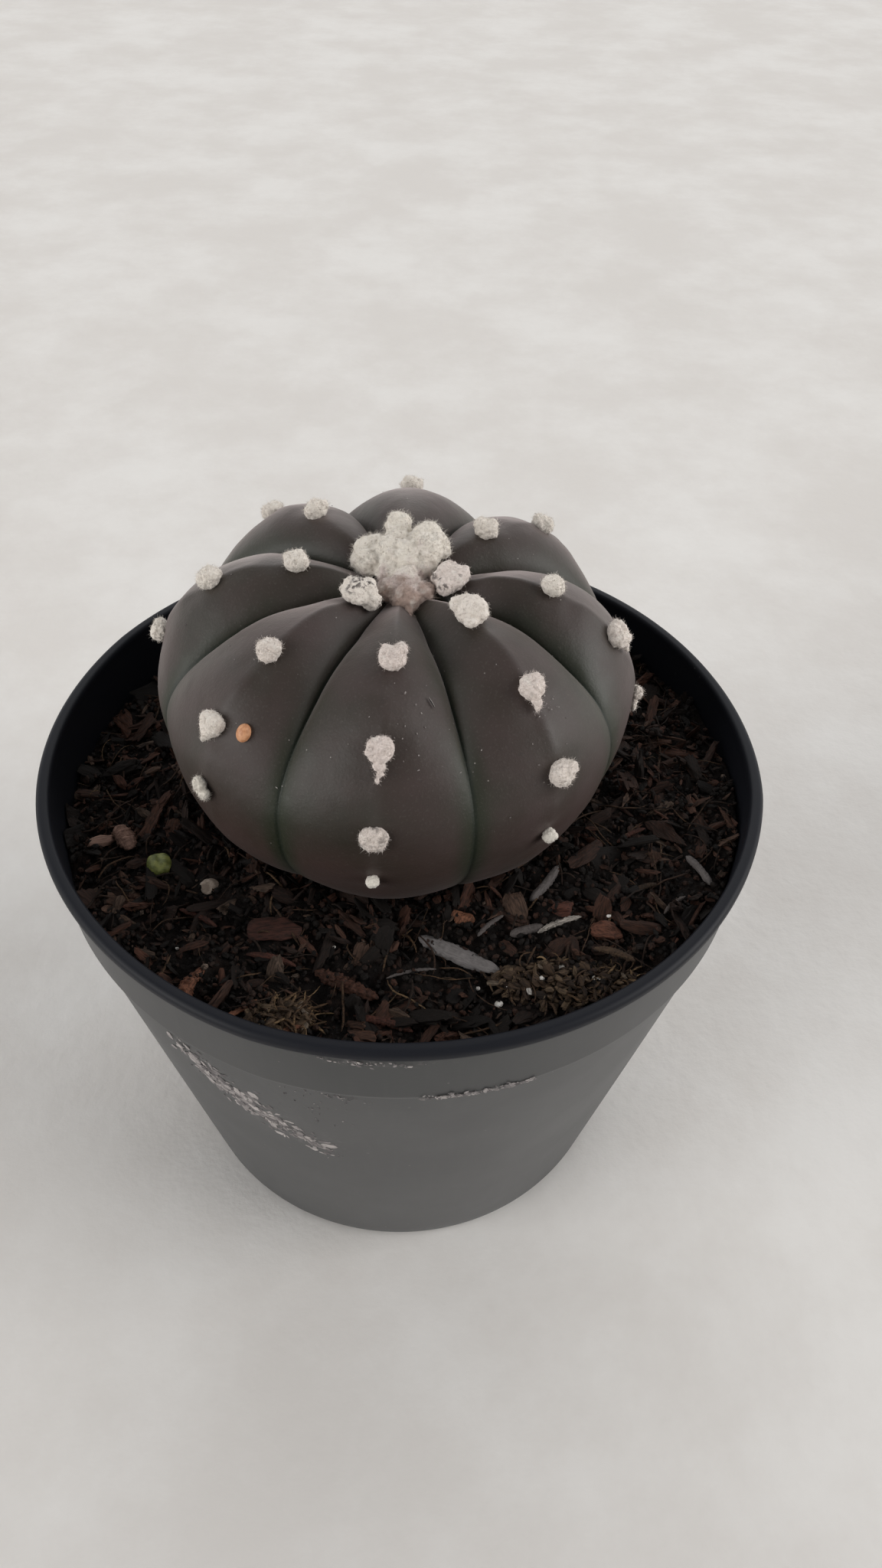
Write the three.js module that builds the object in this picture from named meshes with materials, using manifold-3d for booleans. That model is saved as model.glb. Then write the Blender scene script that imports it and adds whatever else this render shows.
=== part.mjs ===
// A round eight-ribbed cactus (Astrophytum type) in an 11 cm plastic nursery pot.
// Millimetres and degrees. The origin is the middle of the pot's foot, +Z is up and -Y is the front.
import * as THREE from "three";
import { mergeVertices } from "three/addons/utils/BufferGeometryUtils.js";
import Module from "manifold-3d";

const wasm = await Module();
wasm.setup();

// ---- Pot ----
const potHeight = 83.5;
const rimRadius = 55;
const lipHeight = 2.2; // the thick lip at the mouth
const lipReach = 1.0; // how far the lip stands out past the collar
const lipWidth = 2.0; // the lip's top, from its outside to its inside
const collarHeight = 13.6; // from the rim down to the moulded step
const collarDraft = 0.7; // how much the collar narrows over its height
const stepDepth = 0.6;
const stepHeight = 0.5; // the step slopes in over this height
const baseRadius = 39.8;
const baseRounding = 1.2;
const potWall = 1.3;
const potFloor = 1.5;
const footRecess = 1.2; // the base is raised by this much inside its foot ring
const footWidth = 5.5;
const drainHoles = 8;
const drainHoleRadius = 2.6;
const drainRingRadius = 26;

// ---- Soil ----
const headspace = 8.8; // from the rim down to the soil's average level
const soilTilt = 1.9; // the soil is this much higher at the right wall, and lower at the left
const soilWaves = 0.55;
const soilGap = 0.3; // between the soil and the pot
const socketGap = 0.35; // between the soil and the plant

// ---- Cactus ----
const stemRadius = 35.7; // over the rib crests, at the widest height
const stemRise = 17.8; // from the soil's average level up to the widest height
const shoulderHeight = 20.5; // from the widest height up to the crests' highest ring
const crownRadius = 15; // where the crests are highest
const crownDip = 3.4; // the growing point lies this much lower
const undersideRadius = 15.5; // the flat middle of the underside
const undersideDepth = 23; // from the widest height down to the underside
const furrowDepth = 4.8; // on the shoulder
const furrowFootDepth = 1.1; // below the widest height, where the ribs flatten out
const flatteningStart = 26; // the ribs flatten from this distance down the crest
const furrowFade = 15; // the furrows deepen over this distance from the growing point
const furrowSlit = 0.2; // the share of the furrow's depth that is its narrow slit
const stemShift = new THREE.Vector2(-1.3, 5.4); // the plant stands off the pot's centre
const crownLean = 0.7; // the growing point leans this far to the right of the stem's axis
const leanEnd = 45; // the lean dies out over this distance from the growing point
const rootLength = 42;
const rootRadius = 9;
const rootFlare = 4; // how much the root widens into the underside
const sideRoots = 5;
const sideRootRadius = 1.0;
const sideRootReach = 19;
const sideRootDrop = 17;

// ---- Ribs ----
// Furrows run midway between the azimuths of neighbouring ribs. A crest wanders through its tufts, each
// given by its distance down the crest from the growing point and its azimuth. A roundness of 1 is a
// sharp ridge with flat flanks, and 2 is a round one.
const ribs = [
  {
    name: "front",
    azimuth: -92,
    roundness: 1.35,
    tufts: [[20.5, -88.8], [32.9, -90.7], [45, -91.7], [54, -92.2]],
  },
  {
    name: "front_right",
    azimuth: -47,
    roundness: 1.25,
    tufts: [[14.7, -47.7], [28.9, -48.3], [41.2, -48.1], [51.8, -50.5]],
  },
  {
    name: "right",
    azimuth: -2.6,
    roundness: 1.3,
    tufts: [[7.8, -8.5], [22.2, -8], [34.6, -6.5], [48.6, -2.4]],
  },
  {
    name: "back_right",
    azimuth: 42,
    roundness: 1.8,
    tufts: [[16, 38.5], [28.6, 39.5], [42, 42], [54, 42]],
  },
  { name: "back", azimuth: 88, roundness: 2.1, tufts: [[29, 88], [41, 89], [53, 88]] },
  {
    name: "back_left",
    azimuth: 132.4,
    roundness: 1.8,
    tufts: [[18.8, 134.5], [32.2, 133], [44.5, 132], [56, 132]],
  },
  {
    name: "left",
    azimuth: 176,
    roundness: 1.35,
    tufts: [[14.9, 181], [27.5, 181], [41.6, 177], [53, 176]],
  },
  {
    name: "front_left",
    azimuth: 224,
    roundness: 1.3,
    tufts: [[8.2, 228], [24.5, 228.5], [36.5, 225.9], [46.8, 225.8]],
  },
];

// ---- Wool ----
const tuftRadius = 2.05;
const tuftHeight = 1.75;
const lowTuftRadius = 1.15; // the oldest tufts, at the foot of the front ribs
const lowTuftDistance = 51; // tufts further down the front crests than this are worn small
const woolGap = 0.3; // between the wool and the skin

// Lobes of the crown's wool: place from the growing point, height above the skin there, and radius.
const crownLobes = [
  { x: -0.7, y: 9.0, up: 4.2, radius: 2.1 },
  { x: -0.4, y: 6.4, up: 2.8, radius: 2.4 },
  { x: 3.3, y: 5.6, up: 2.8, radius: 2.9 },
  { x: -4.5, y: 4.1, up: 1.8, radius: 2.5 },
  { x: -1.2, y: 3.2, up: 1.8, radius: 2.8 },
  { x: 1.2, y: 1.4, up: 1.5, radius: 3.0 },
  { x: 1.0, y: -2.6, up: 0.9, radius: 2.8 },
];

// ---- Grain stuck to the skin of the front left rib ----
const grain = { rib: 7, turn: 0.4, distance: 35.5, radius: 1.15 };

// ---- Single pieces on the soil: lumps and flat chips, by place, heading and size ----
const litterGap = 0.3;
const litterSink = 0.3; // the share of a piece's height that is bedded in the soil
const litterReach = 3; // litter beside the plant reaches this high above the soil's average level
const lumps = [
  { name: "bark_flat", at: [-16.6, -30.2], heading: 8, size: [7.5, 4.6, 2.2], look: "bark" },
  { name: "bark_left", at: [-45.2, -13.0], heading: 25, size: [5.2, 2.8, 2.0], look: "bark" },
  { name: "bark_right", at: [24.2, -25.3], heading: 15, size: [4.6, 3.6, 2.8], look: "bark" },
  { name: "bark_far_right", at: [29.8, -29.7], heading: -10, size: [5.0, 3.6, 2.8], look: "bark" },
  { name: "bark_orange", at: [9.9, -26.9], heading: 60, size: [2.9, 2.2, 2.0], look: "bark" },
  { name: "bark_clump", at: [23.6, -38.2], heading: 4, size: [20, 7.5, 3.4], look: "bark" },
  { name: "fibre_clump", at: [-14.4, -44.4], heading: 0, size: [9.6, 6.6, 3.0], look: "fibre" },
  { name: "tan_granule", at: [-27.2, -21.9], heading: 0, size: [2.9, 2.6, 2.4], look: "stone" },
  { name: "seedling", at: [-35.3, -18.2], heading: 0, size: [3.5, 3.5, 3.5], look: "seedling" },
];
// Strips and twigs, by the points that they run through.
const sticks = [
  {
    name: "wood_strip",
    path: [[3.8, -30.1], [9.0, -33.2], [14.9, -35.8]],
    width: 2.8,
    height: 1.2,
    look: "wood",
  },
  {
    name: "bark_curved",
    path: [[-25.2, -36.4], [-27.6, -40.4], [-25.4, -43.4]],
    width: 2.0,
    height: 1.5,
    look: "bark",
  },
  {
    name: "bark_long",
    path: [[-10.4, -36.2], [-6.0, -38.6], [-1.4, -41.0]],
    width: 2.1,
    height: 1.4,
    look: "bark",
  },
  {
    name: "twig_right",
    path: [[23.9, -17.2], [21.9, -20.8], [19.5, -23.9]],
    width: 1.3,
    height: 1.3,
    look: "wood",
  },
  {
    name: "twig_pale",
    path: [[16.6, -29.9], [19.0, -29.0], [21.4, -28.6]],
    width: 1.4,
    height: 1.2,
    look: "wood",
  },
  {
    name: "twig_far_right",
    path: [[43.0, -14.9], [44.8, -17.4], [46.0, -20.0]],
    width: 1.1,
    height: 1.1,
    look: "wood",
  },
];

// ---- Materials ----
const material = (color, roughness) => new THREE.MeshStandardMaterial({ color, roughness, metalness: 0 });
const looks = {
  pot: material("#2b2d2f", 0.5),
  soil: material("#1d1512", 0.95),
  skin: material("#5a504e", 0.6),
  wool: material("#d3c8be", 1.0),
  grain: material("#c8793f", 0.6),
  bark: material("#4a2c20", 0.85),
  fibre: material("#6f5430", 0.95),
  wood: material("#83797a", 0.85),
  stone: material("#8a735c", 0.85),
  seedling: material("#7f8f3c", 0.5),
};

// ---- Solids ----
// A closed three.js geometry as a manifold solid.
function solidOf(geometry) {
  const loose = geometry.index ? geometry.toNonIndexed() : geometry.clone();
  loose.deleteAttribute("normal");
  loose.deleteAttribute("uv");
  const merged = mergeVertices(loose, 1e-4);
  const vertProperties = merged.attributes.position.array;
  const triVerts = new Uint32Array(merged.index.array);
  return new wasm.Manifold(new wasm.Mesh({ numProp: 3, vertProperties, triVerts }));
}

function geometryOf(solid) {
  const mesh = solid.getMesh();
  const geometry = new THREE.BufferGeometry();
  geometry.setAttribute("position", new THREE.BufferAttribute(mesh.vertProperties.slice(), 3));
  geometry.setIndex(new THREE.BufferAttribute(mesh.triVerts.slice(), 1));
  geometry.computeVertexNormals();
  return geometry;
}

// A sphere's grid moved to a new surface. place(column, row) gives each point; row 0 is the top pole.
function warpedSphere(columns, rows, place) {
  const geometry = new THREE.SphereGeometry(1, columns, rows);
  const { position, uv } = geometry.attributes;
  for (let i = 0; i < position.count; i += 1) {
    const row = Math.round((1 - uv.getY(i)) * rows);
    const column = Math.round(uv.getX(i) * columns) % columns;
    position.setXYZ(i, ...place(column, row));
  }
  return solidOf(geometry);
}

const radians = THREE.MathUtils.degToRad;
const lerp = THREE.MathUtils.lerp;
const around = (radius, angle, z) => [radius * Math.cos(angle), radius * Math.sin(angle), z];

// ---- Pot: one turned wall ----
const potSides = 48;
const stepZ = potHeight - collarHeight;
const collarTopRadius = rimRadius - lipReach;
const collarFootRadius = collarTopRadius - collarDraft;
const wallTopRadius = collarFootRadius - stepDepth;
const floorZ = footRecess + potFloor;

// The outside below the lip, from the base's rounding up.
const outerWall = [
  [baseRadius, baseRounding],
  [wallTopRadius, stepZ],
  [collarFootRadius, stepZ + stepHeight],
  [collarTopRadius, potHeight - lipHeight],
];
const radiusOn = (wall, z) => {
  const k = Math.max(1, wall.findIndex((point) => point[1] >= z));
  const [[r0, z0], [r1, z1]] = [wall[k - 1], wall[k]];
  return r0 + ((r1 - r0) * (z - z0)) / (z1 - z0);
};
const innerWall = [
  [radiusOn(outerWall, floorZ) - potWall, floorZ],
  [wallTopRadius - potWall, stepZ],
  [collarFootRadius - potWall, stepZ + stepHeight],
  [rimRadius - lipWidth, potHeight - lipHeight],
];

function potSolid() {
  const profile = new THREE.Path();
  profile.moveTo(0, footRecess);
  profile.lineTo(baseRadius - footWidth - footRecess, footRecess);
  profile.lineTo(baseRadius - footWidth, 0);
  profile.lineTo(baseRadius - baseRounding, 0);
  profile.absarc(baseRadius - baseRounding, baseRounding, baseRounding, -Math.PI / 2, 0);
  outerWall.slice(1).forEach(([r, z]) => profile.lineTo(r, z));
  const lipEdge = lipHeight / 4;
  profile.lineTo(rimRadius - lipEdge, potHeight - lipHeight);
  profile.lineTo(rimRadius, potHeight - lipHeight + lipEdge);
  profile.lineTo(rimRadius, potHeight - lipEdge);
  profile.lineTo(rimRadius - lipEdge, potHeight);
  profile.lineTo(rimRadius - lipWidth + lipEdge / 2, potHeight);
  profile.lineTo(rimRadius - lipWidth, potHeight - lipEdge);
  innerWall.toReversed().forEach(([r, z]) => profile.lineTo(r, z));
  profile.lineTo(0, floorZ);
  const turned = new THREE.LatheGeometry(profile.getPoints(3), potSides);
  let solid = solidOf(turned.rotateX(Math.PI / 2));
  for (let i = 0; i <= drainHoles; i += 1) {
    const hole = new THREE.CylinderGeometry(drainHoleRadius, drainHoleRadius, 4 * floorZ, 12);
    const ring = i < drainHoles ? drainRingRadius : 0; // the last hole is in the middle
    hole.rotateX(Math.PI / 2).translate(...around(ring, (2 * Math.PI * i) / drainHoles, 0));
    solid = solid.subtract(solidOf(hole));
  }
  return solid;
}

// ---- Soil ----
const soilZ = potHeight - headspace;
const soilTop = (x, y) =>
  soilZ +
  (soilTilt * x) / rimRadius +
  soilWaves * (Math.sin(x / 7 + 1) * Math.cos(y / 9) + Math.sin(x / 4 - y / 5) / 2);

// The ground, as a drum wider than the pot whose top is the soil's surface, raised by lift.
function ground(lift) {
  const topRings = [0, 20, 28, 36, 44, 1.1 * rimRadius];
  const bottomZ = -potHeight;
  return warpedSphere(potSides, topRings.length + 1, (column, row) => {
    const angle = (2 * Math.PI * column) / potSides;
    if (row < topRings.length) {
      const [x, y] = around(topRings[row], angle, 0);
      return [x, y, soilTop(x, y) + lift];
    }
    return around(row === topRings.length ? 1.1 * rimRadius : 0, angle, bottomZ);
  });
}

function soilSolid(plantSocket) {
  const bed = innerWall.map(([r, z]) => new THREE.Vector2(r - soilGap, z));
  bed[0].y += soilGap;
  const filling = [new THREE.Vector2(0, bed[0].y), ...bed, new THREE.Vector2(0, bed.at(-1).y)];
  const drum = new THREE.LatheGeometry(filling, potSides).rotateX(Math.PI / 2);
  return solidOf(drum).intersect(ground(0)).subtract(plantSocket);
}

// ---- Cactus stem ----
const widestZ = soilZ + stemRise;
const crestZ = widestZ + shoulderHeight;
const crownZ = crestZ - crownDip;
const undersideZ = widestZ - undersideDepth;

// A crest's line in the plane through the stem's axis: crown, shoulder, then underside.
const crownCurve = new THREE.CubicBezierCurve(
  new THREE.Vector2(0, crownZ),
  new THREE.Vector2(crownRadius / 2, crownZ),
  new THREE.Vector2(crownRadius / 2, crestZ),
  new THREE.Vector2(crownRadius, crestZ),
);
const shoulderCurve = new THREE.EllipseCurve(
  crownRadius, widestZ, stemRadius - crownRadius, shoulderHeight, Math.PI / 2, 0, true,
);
const undersideCurve = new THREE.EllipseCurve(
  undersideRadius, widestZ, stemRadius - undersideRadius, undersideDepth, 0, -Math.PI / 2, true,
);
const crest = new THREE.CurvePath();
crest.curves.push(crownCurve, shoulderCurve, undersideCurve);
const crownCurveLength = crownCurve.getLength();
const widestDistance = crownCurveLength + shoulderCurve.getLength();
const crestLength = crest.getLength();

// The point at a distance down a crest, with the outward normal there.
function onCrest(distance) {
  const share = Math.min(distance / crestLength, 1);
  const point = crest.getPointAt(share);
  const along = crest.getTangentAt(share);
  return { r: point.x, z: point.y, normalR: -along.y, normalZ: along.x };
}

const leanAt = (distance) => crownLean * (1 - THREE.MathUtils.smoothstep(distance, 0, leanEnd));

// How deep the furrow is at a distance down the stem: nothing at the growing point or under the stem.
function furrowAt(distance) {
  const opening = THREE.MathUtils.smoothstep(distance, 0, furrowFade);
  const closing = THREE.MathUtils.smoothstep(crestLength - distance, 0, undersideDepth / 2);
  const flattening = THREE.MathUtils.smoothstep(distance, flatteningStart, widestDistance);
  return lerp(furrowDepth, furrowFootDepth, flattening) * opening * closing;
}

// A rib's fall across its width: 0 on the crest, down its flanks, to 1 in the furrow's slit.
const fall = (rib, turn) =>
  (1 - furrowSlit) * Math.abs(turn) ** ribs[rib].roundness + furrowSlit * Math.abs(turn) ** 14;

// A crest's azimuth at a distance down it: straight from tuft to tuft, and steady before and after them.
function crestAzimuth(rib, distance) {
  const { tufts } = ribs[rib];
  const next = tufts.findIndex(([at]) => at > distance);
  if (next < 1) {
    return tufts.at(next)[1];
  }
  const [[d0, azimuth0], [d1, azimuth1]] = [tufts[next - 1], tufts[next]];
  return lerp(azimuth0, azimuth1, (distance - d0) / (d1 - d0));
}

// A rib's angle at a turn of -1 (the furrow before it), 0 (its crest) or 1 (the furrow after it).
function ribAngle(rib, turn, distance) {
  const { azimuth } = ribs[rib];
  const next = ribs[(rib + Math.sign(turn) + ribs.length) % ribs.length].azimuth;
  const toNext = THREE.MathUtils.euclideanModulo(next - azimuth + 180, 360) - 180;
  return radians(lerp(crestAzimuth(rib, distance), azimuth + toNext / 2, Math.abs(turn)));
}

// A point on the skin, at a turn across a rib and a distance down it, moved out by lift.
function onSkin(rib, turn, distance, lift) {
  const { r, z, normalR, normalZ } = onCrest(distance);
  const out = lift - furrowAt(distance) * fall(rib, turn);
  const [x, y] = around(r + normalR * out, ribAngle(rib, turn, distance), 0);
  return [x + stemShift.x + leanAt(distance), y + stemShift.y, z + normalZ * out];
}

// The stem's skin, moved out by lift.
function stemSolid(lift) {
  const halfTurns = [0, 0.3, 0.62, 0.9, 1]; // columns from a crest to its furrow
  const half = halfTurns.length - 1;
  const columns = ribs.length * 2 * half;
  const stops = [0, 4, 9];
  const rest = 13;
  for (let i = 0; i < rest; i += 1) {
    stops.push(lerp(crownCurveLength, crestLength, i / (rest - 1)));
  }
  const rows = stops.length;
  return warpedSphere(columns, rows, (column, row) => {
    if (row === rows) {
      return [stemShift.x, stemShift.y, undersideZ - lift];
    }
    const rib = Math.floor((column + half) / (2 * half)) % ribs.length;
    const step = ((column + half) % (2 * half)) - half;
    const turn = Math.sign(step) * halfTurns[Math.abs(step)];
    if (row === 0) {
      return [stemShift.x + leanAt(0), stemShift.y, crownZ + lift];
    }
    return onSkin(rib, turn, stops[row], lift);
  });
}

// ---- Roots: a turnip-shaped taproot, and side roots that leave it low down ----
function rootSolid(lift) {
  const rounds = 7;
  const profile = [new THREE.Vector2(0, undersideZ - rootLength - lift)];
  for (let i = 0; i <= rounds; i += 1) {
    const share = i / rounds; // 0 at the tip, 1 at the underside
    const radius = 0.8 + (rootRadius - 0.8) * share ** 0.8 + rootFlare * share ** 6;
    profile.push(new THREE.Vector2(radius + lift, undersideZ - rootLength * (1 - share)));
  }
  profile.push(new THREE.Vector2(rootRadius + rootFlare + lift, undersideZ + 1));
  profile.push(new THREE.Vector2(0, undersideZ + 1));
  const taproot = new THREE.LatheGeometry(profile, 14).rotateX(Math.PI / 2);
  let solid = solidOf(taproot.translate(stemShift.x, stemShift.y, 0));
  for (let i = 0; i < sideRoots; i += 1) {
    const angle = (2 * Math.PI * (i + 0.3)) / sideRoots;
    const startZ = undersideZ - rootLength * (0.25 + 0.1 * (i % 3));
    const points = [0, 0.35, 0.7, 1].map((share) => {
      const [x, y] = around((sideRootReach + lift) * share, angle + 0.35 * share, 0);
      return new THREE.Vector3(x + stemShift.x, y + stemShift.y, startZ - sideRootDrop * share ** 1.6);
    });
    const section = new THREE.Shape().absarc(0, 0, sideRootRadius + lift, 0, 2 * Math.PI);
    const root = new THREE.ExtrudeGeometry(section, {
      extrudePath: new THREE.CatmullRomCurve3(points),
      steps: 6,
      curveSegments: 4,
    });
    solid = solid.add(solidOf(root));
  }
  return solid;
}

// ---- Wool and the grain, cut to the skin beneath them ----
// A pad of wool or a grain that stands on the skin, with its own axis along the skin's normal.
function padOnSkin(rib, turn, distance, radius, height) {
  const foot = new THREE.Vector3(...onSkin(rib, turn, distance, 0));
  const tip = new THREE.Vector3(...onSkin(rib, turn, distance, 1));
  const pad = new THREE.SphereGeometry(1, 8, 5).rotateX(Math.PI / 2).scale(radius, radius, height);
  const turnTo = new THREE.Quaternion().setFromUnitVectors(
    new THREE.Vector3(0, 0, 1),
    tip.sub(foot).normalize(),
  );
  return solidOf(pad.applyQuaternion(turnTo).translate(foot.x, foot.y, foot.z));
}

function crownSolid() {
  const lobes = crownLobes.map(({ x, y, up, radius }) => {
    const lobe = new THREE.IcosahedronGeometry(radius, 1);
    return solidOf(lobe.translate(stemShift.x + crownLean + x, stemShift.y + y, crownZ + up));
  });
  return lobes.reduce((sum, lobe) => sum.add(lobe));
}

// ---- Single pieces on the soil ----
// The crests' radius at the height that the litter reaches.
const litterTopRise = widestZ - soilZ - litterReach;
const footShare = Math.sqrt(1 - (litterTopRise / undersideDepth) ** 2);
const footRadius = undersideRadius + (stemRadius - undersideRadius) * footShare;

// The place of a piece this wide on the soil, moved away from the plant where its foot would cover it.
function besideFoot([x, y], width) {
  const fromStem = new THREE.Vector2(x, y).sub(stemShift);
  const clear = footRadius + width / 2 + litterGap;
  return fromStem.clampLength(clear, Infinity).add(stemShift).toArray();
}

function lumpSolid({ at, heading, size }) {
  const lump = new THREE.IcosahedronGeometry(1, 1).scale(size[0] / 2, size[1] / 2, size[2] / 2);
  lump.rotateZ(radians(heading));
  const [x, y] = besideFoot(at, size[0]);
  return solidOf(lump.translate(x, y, soilTop(x, y) + size[2] * (0.5 - litterSink)));
}

function stickSolid({ path, width, height }) {
  const points = path.map((place) => {
    const [x, y] = besideFoot(place, width);
    return new THREE.Vector3(x, y, soilTop(x, y) + height * (0.5 - litterSink));
  });
  const section = new THREE.Shape().absellipse(0, 0, height / 2, width / 2, 0, 2 * Math.PI);
  const stick = new THREE.ExtrudeGeometry(section, {
    extrudePath: new THREE.CatmullRomCurve3(points),
    steps: 6,
    curveSegments: 4,
  });
  return solidOf(stick);
}

// ---- The object ----
const object = new THREE.Group();
function addPiece(name, solid, look) {
  const mesh = new THREE.Mesh(geometryOf(solid), looks[look]);
  mesh.name = name;
  object.add(mesh);
}

const plant = stemSolid(0).add(rootSolid(0));
const plantSocket = stemSolid(socketGap).add(rootSolid(socketGap));
const woolSeat = stemSolid(woolGap);
const litterSeat = ground(litterGap);

addPiece("pot", potSolid(), "pot");
addPiece("soil", soilSolid(plantSocket), "soil");
addPiece("cactus", plant, "skin");

const crown = crownSolid().subtract(woolSeat);
addPiece("crown_wool", crown, "wool");
ribs.forEach(({ name, tufts }, rib) => {
  tufts.forEach(([distance], place) => {
    const isWorn = name.startsWith("front") && distance > lowTuftDistance;
    const radius = isWorn ? lowTuftRadius : tuftRadius;
    const height = (tuftHeight * radius) / tuftRadius;
    const tuft = padOnSkin(rib, 0, distance, radius, height).subtract(woolSeat);
    addPiece(`areole_${name}_${place + 1}`, tuft, "wool");
  });
});

const grainSolid = padOnSkin(grain.rib, grain.turn, grain.distance, grain.radius, grain.radius);
addPiece("skin_seed", grainSolid.subtract(woolSeat), "grain");
lumps.forEach((lump) => addPiece(lump.name, lumpSolid(lump).subtract(litterSeat), lump.look));
sticks.forEach((stick) => addPiece(stick.name, stickSolid(stick).subtract(litterSeat), stick.look));

export default object;
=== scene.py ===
"""A round eight-ribbed cactus in a plastic nursery pot: the looks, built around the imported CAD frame.

Shapes are worked out in millimetres and turned into metres when a mesh is made (MM).
"""
import math
from random import Random

import bmesh
import bpy
import numpy as np
from mathutils import Matrix, Vector, noise


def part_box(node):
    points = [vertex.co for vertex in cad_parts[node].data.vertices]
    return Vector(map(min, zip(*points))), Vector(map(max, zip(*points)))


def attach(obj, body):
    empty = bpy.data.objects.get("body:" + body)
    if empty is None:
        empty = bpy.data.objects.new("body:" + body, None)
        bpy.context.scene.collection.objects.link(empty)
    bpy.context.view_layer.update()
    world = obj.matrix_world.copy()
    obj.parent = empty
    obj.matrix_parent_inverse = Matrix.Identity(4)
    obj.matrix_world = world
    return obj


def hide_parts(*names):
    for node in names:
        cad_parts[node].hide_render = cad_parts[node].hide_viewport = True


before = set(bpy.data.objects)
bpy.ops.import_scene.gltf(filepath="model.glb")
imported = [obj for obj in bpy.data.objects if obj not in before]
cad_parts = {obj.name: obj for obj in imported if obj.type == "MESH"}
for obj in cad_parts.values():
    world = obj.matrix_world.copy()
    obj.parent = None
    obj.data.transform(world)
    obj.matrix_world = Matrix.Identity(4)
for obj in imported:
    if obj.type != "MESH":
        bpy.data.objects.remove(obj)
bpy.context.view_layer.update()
MM = 0.001


def box_mm(node):
    """A CAD node's lowest and highest corners, in millimetres."""
    return [np.array(corner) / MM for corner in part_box(node)]


# ---- Driving sizes in mm: from the frame where it gives them, else as the CAD has them ----
POT_LOW, POT_HIGH = box_mm("pot")
RIM_RADIUS = POT_HIGH[0]
POT_HEIGHT = POT_HIGH[2]
LIP_HEIGHT = 2.2
LIP_REACH = 1.0
LIP_WIDTH = 2.0
COLLAR_HEIGHT = 13.6
COLLAR_DRAFT = 0.7
STEP_DEPTH = 0.6
STEP_HEIGHT = 0.5
BASE_RADIUS = 39.8
BASE_ROUNDING = 1.2
POT_WALL = 1.3
POT_FLOOR = 1.5
FOOT_RECESS = 1.2
FOOT_WIDTH = 5.5
DRAIN_HOLES = 8
DRAIN_HOLE_RADIUS = 2.6
DRAIN_RING_RADIUS = 26

STEP_Z = POT_HEIGHT - COLLAR_HEIGHT
COLLAR_TOP_RADIUS = RIM_RADIUS - LIP_REACH
COLLAR_FOOT_RADIUS = COLLAR_TOP_RADIUS - COLLAR_DRAFT
WALL_TOP_RADIUS = COLLAR_FOOT_RADIUS - STEP_DEPTH
FLOOR_Z = FOOT_RECESS + POT_FLOOR

HEADSPACE = 8.8
SOIL_Z = POT_HEIGHT - HEADSPACE
SOIL_TILT = 1.9
SOIL_WAVES = 0.55
SOIL_GAP = 0.3

STEM_RADIUS = 35.7
WIDEST_Z = SOIL_Z + 17.8
CREST_Z = WIDEST_Z + 20.5
CROWN_RADIUS = 15
CROWN_Z = CREST_Z - 3.4
UNDERSIDE_RADIUS = 15.5
UNDERSIDE_DEPTH = 23
UNDERSIDE_Z = WIDEST_Z - UNDERSIDE_DEPTH
FURROW_DEPTH = 4.8
FURROW_FOOT_DEPTH = 1.1
FLATTENING_START = 26
FURROW_FADE = 15
FURROW_SLIT = 0.2
STEM_SHIFT = np.array([-1.3, 5.4])
CROWN_LEAN = 0.7
LEAN_END = 45
ROOT_LENGTH = 42
ROOT_RADIUS = 9
ROOT_FLARE = 4
SIDE_ROOTS = 5
SIDE_ROOT_RADIUS = 1.0
SIDE_ROOT_REACH = 19
SIDE_ROOT_DROP = 17

# Each rib's direction in degrees, how round it is, and its tufts. A tuft has a distance down the crest in mm, and
# a direction.
RIBS = [
    ("front", -92, 1.35, [(20.5, -88.8), (32.9, -90.7), (45, -91.7), (54, -92.2)]),
    ("front_right", -47, 1.25, [(14.7, -47.7), (28.9, -48.3), (41.2, -48.1), (51.8, -50.5)]),
    ("right", -2.6, 1.3, [(7.8, -8.5), (22.2, -8), (34.6, -6.5), (48.6, -2.4)]),
    ("back_right", 42, 1.8, [(16, 38.5), (28.6, 39.5), (42, 42), (54, 42)]),
    ("back", 88, 2.1, [(29, 88), (41, 89), (53, 88)]),
    ("back_left", 132.4, 1.8, [(18.8, 134.5), (32.2, 133), (44.5, 132), (56, 132)]),
    ("left", 176, 1.35, [(14.9, 181), (27.5, 181), (41.6, 177), (53, 176)]),
    ("front_left", 224, 1.3, [(8.2, 228), (24.5, 228.5), (36.5, 225.9), (46.8, 225.8)]),
]
FRONT, FRONT_RIGHT, FRONT_LEFT = 0, 1, 7  # places in RIBS


# ---- Numbers and vectors ----
def smoothstep(x, low, high):
    t = np.clip((x - low) / (high - low), 0, 1)
    return t * t * (3 - 2 * t)


def unit(vectors):
    vectors = np.asarray(vectors, float)
    return vectors / np.maximum(np.linalg.norm(vectors, axis=-1, keepdims=True), 1e-12)


def across(vectors):
    """A unit vector at a right angle to each vector."""
    vectors = np.asarray(vectors, float)
    pole = np.where(np.abs(vectors[..., 2:3]) < 0.9, [0.0, 0.0, 1.0], [1.0, 0.0, 0.0])
    return unit(np.cross(vectors, pole))


def axes_out(out):
    """Axes at right angles to one another, as rows; the last is the unit vector given."""
    side = across(out)
    return np.stack([side, np.cross(out, side), out])


def roughness_at(points, size, octaves=3, offset=0.0):
    """Noise from about -1 to 1 at each point; size is the widest lump in mm."""
    return np.array([
        noise.fractal(Vector(p) / size + Vector((offset, 0, 0)), 1.0, 2.1, octaves)
        for p in np.asarray(points, float).reshape(-1, 3)
    ])


def block_reach(directions, power):
    """How far a body reaches each way: a ball of radius 1 at a power of 2, nearer a block above that."""
    return 1 / (np.abs(directions) ** power).sum(1) ** (1 / power)


def circle(radius, z, count):
    """Points on a level circle, counterclockwise from +X."""
    angles = 2 * np.pi * np.arange(count) / count
    return np.stack([radius * np.cos(angles), radius * np.sin(angles), np.full(count, z)], -1)


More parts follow.
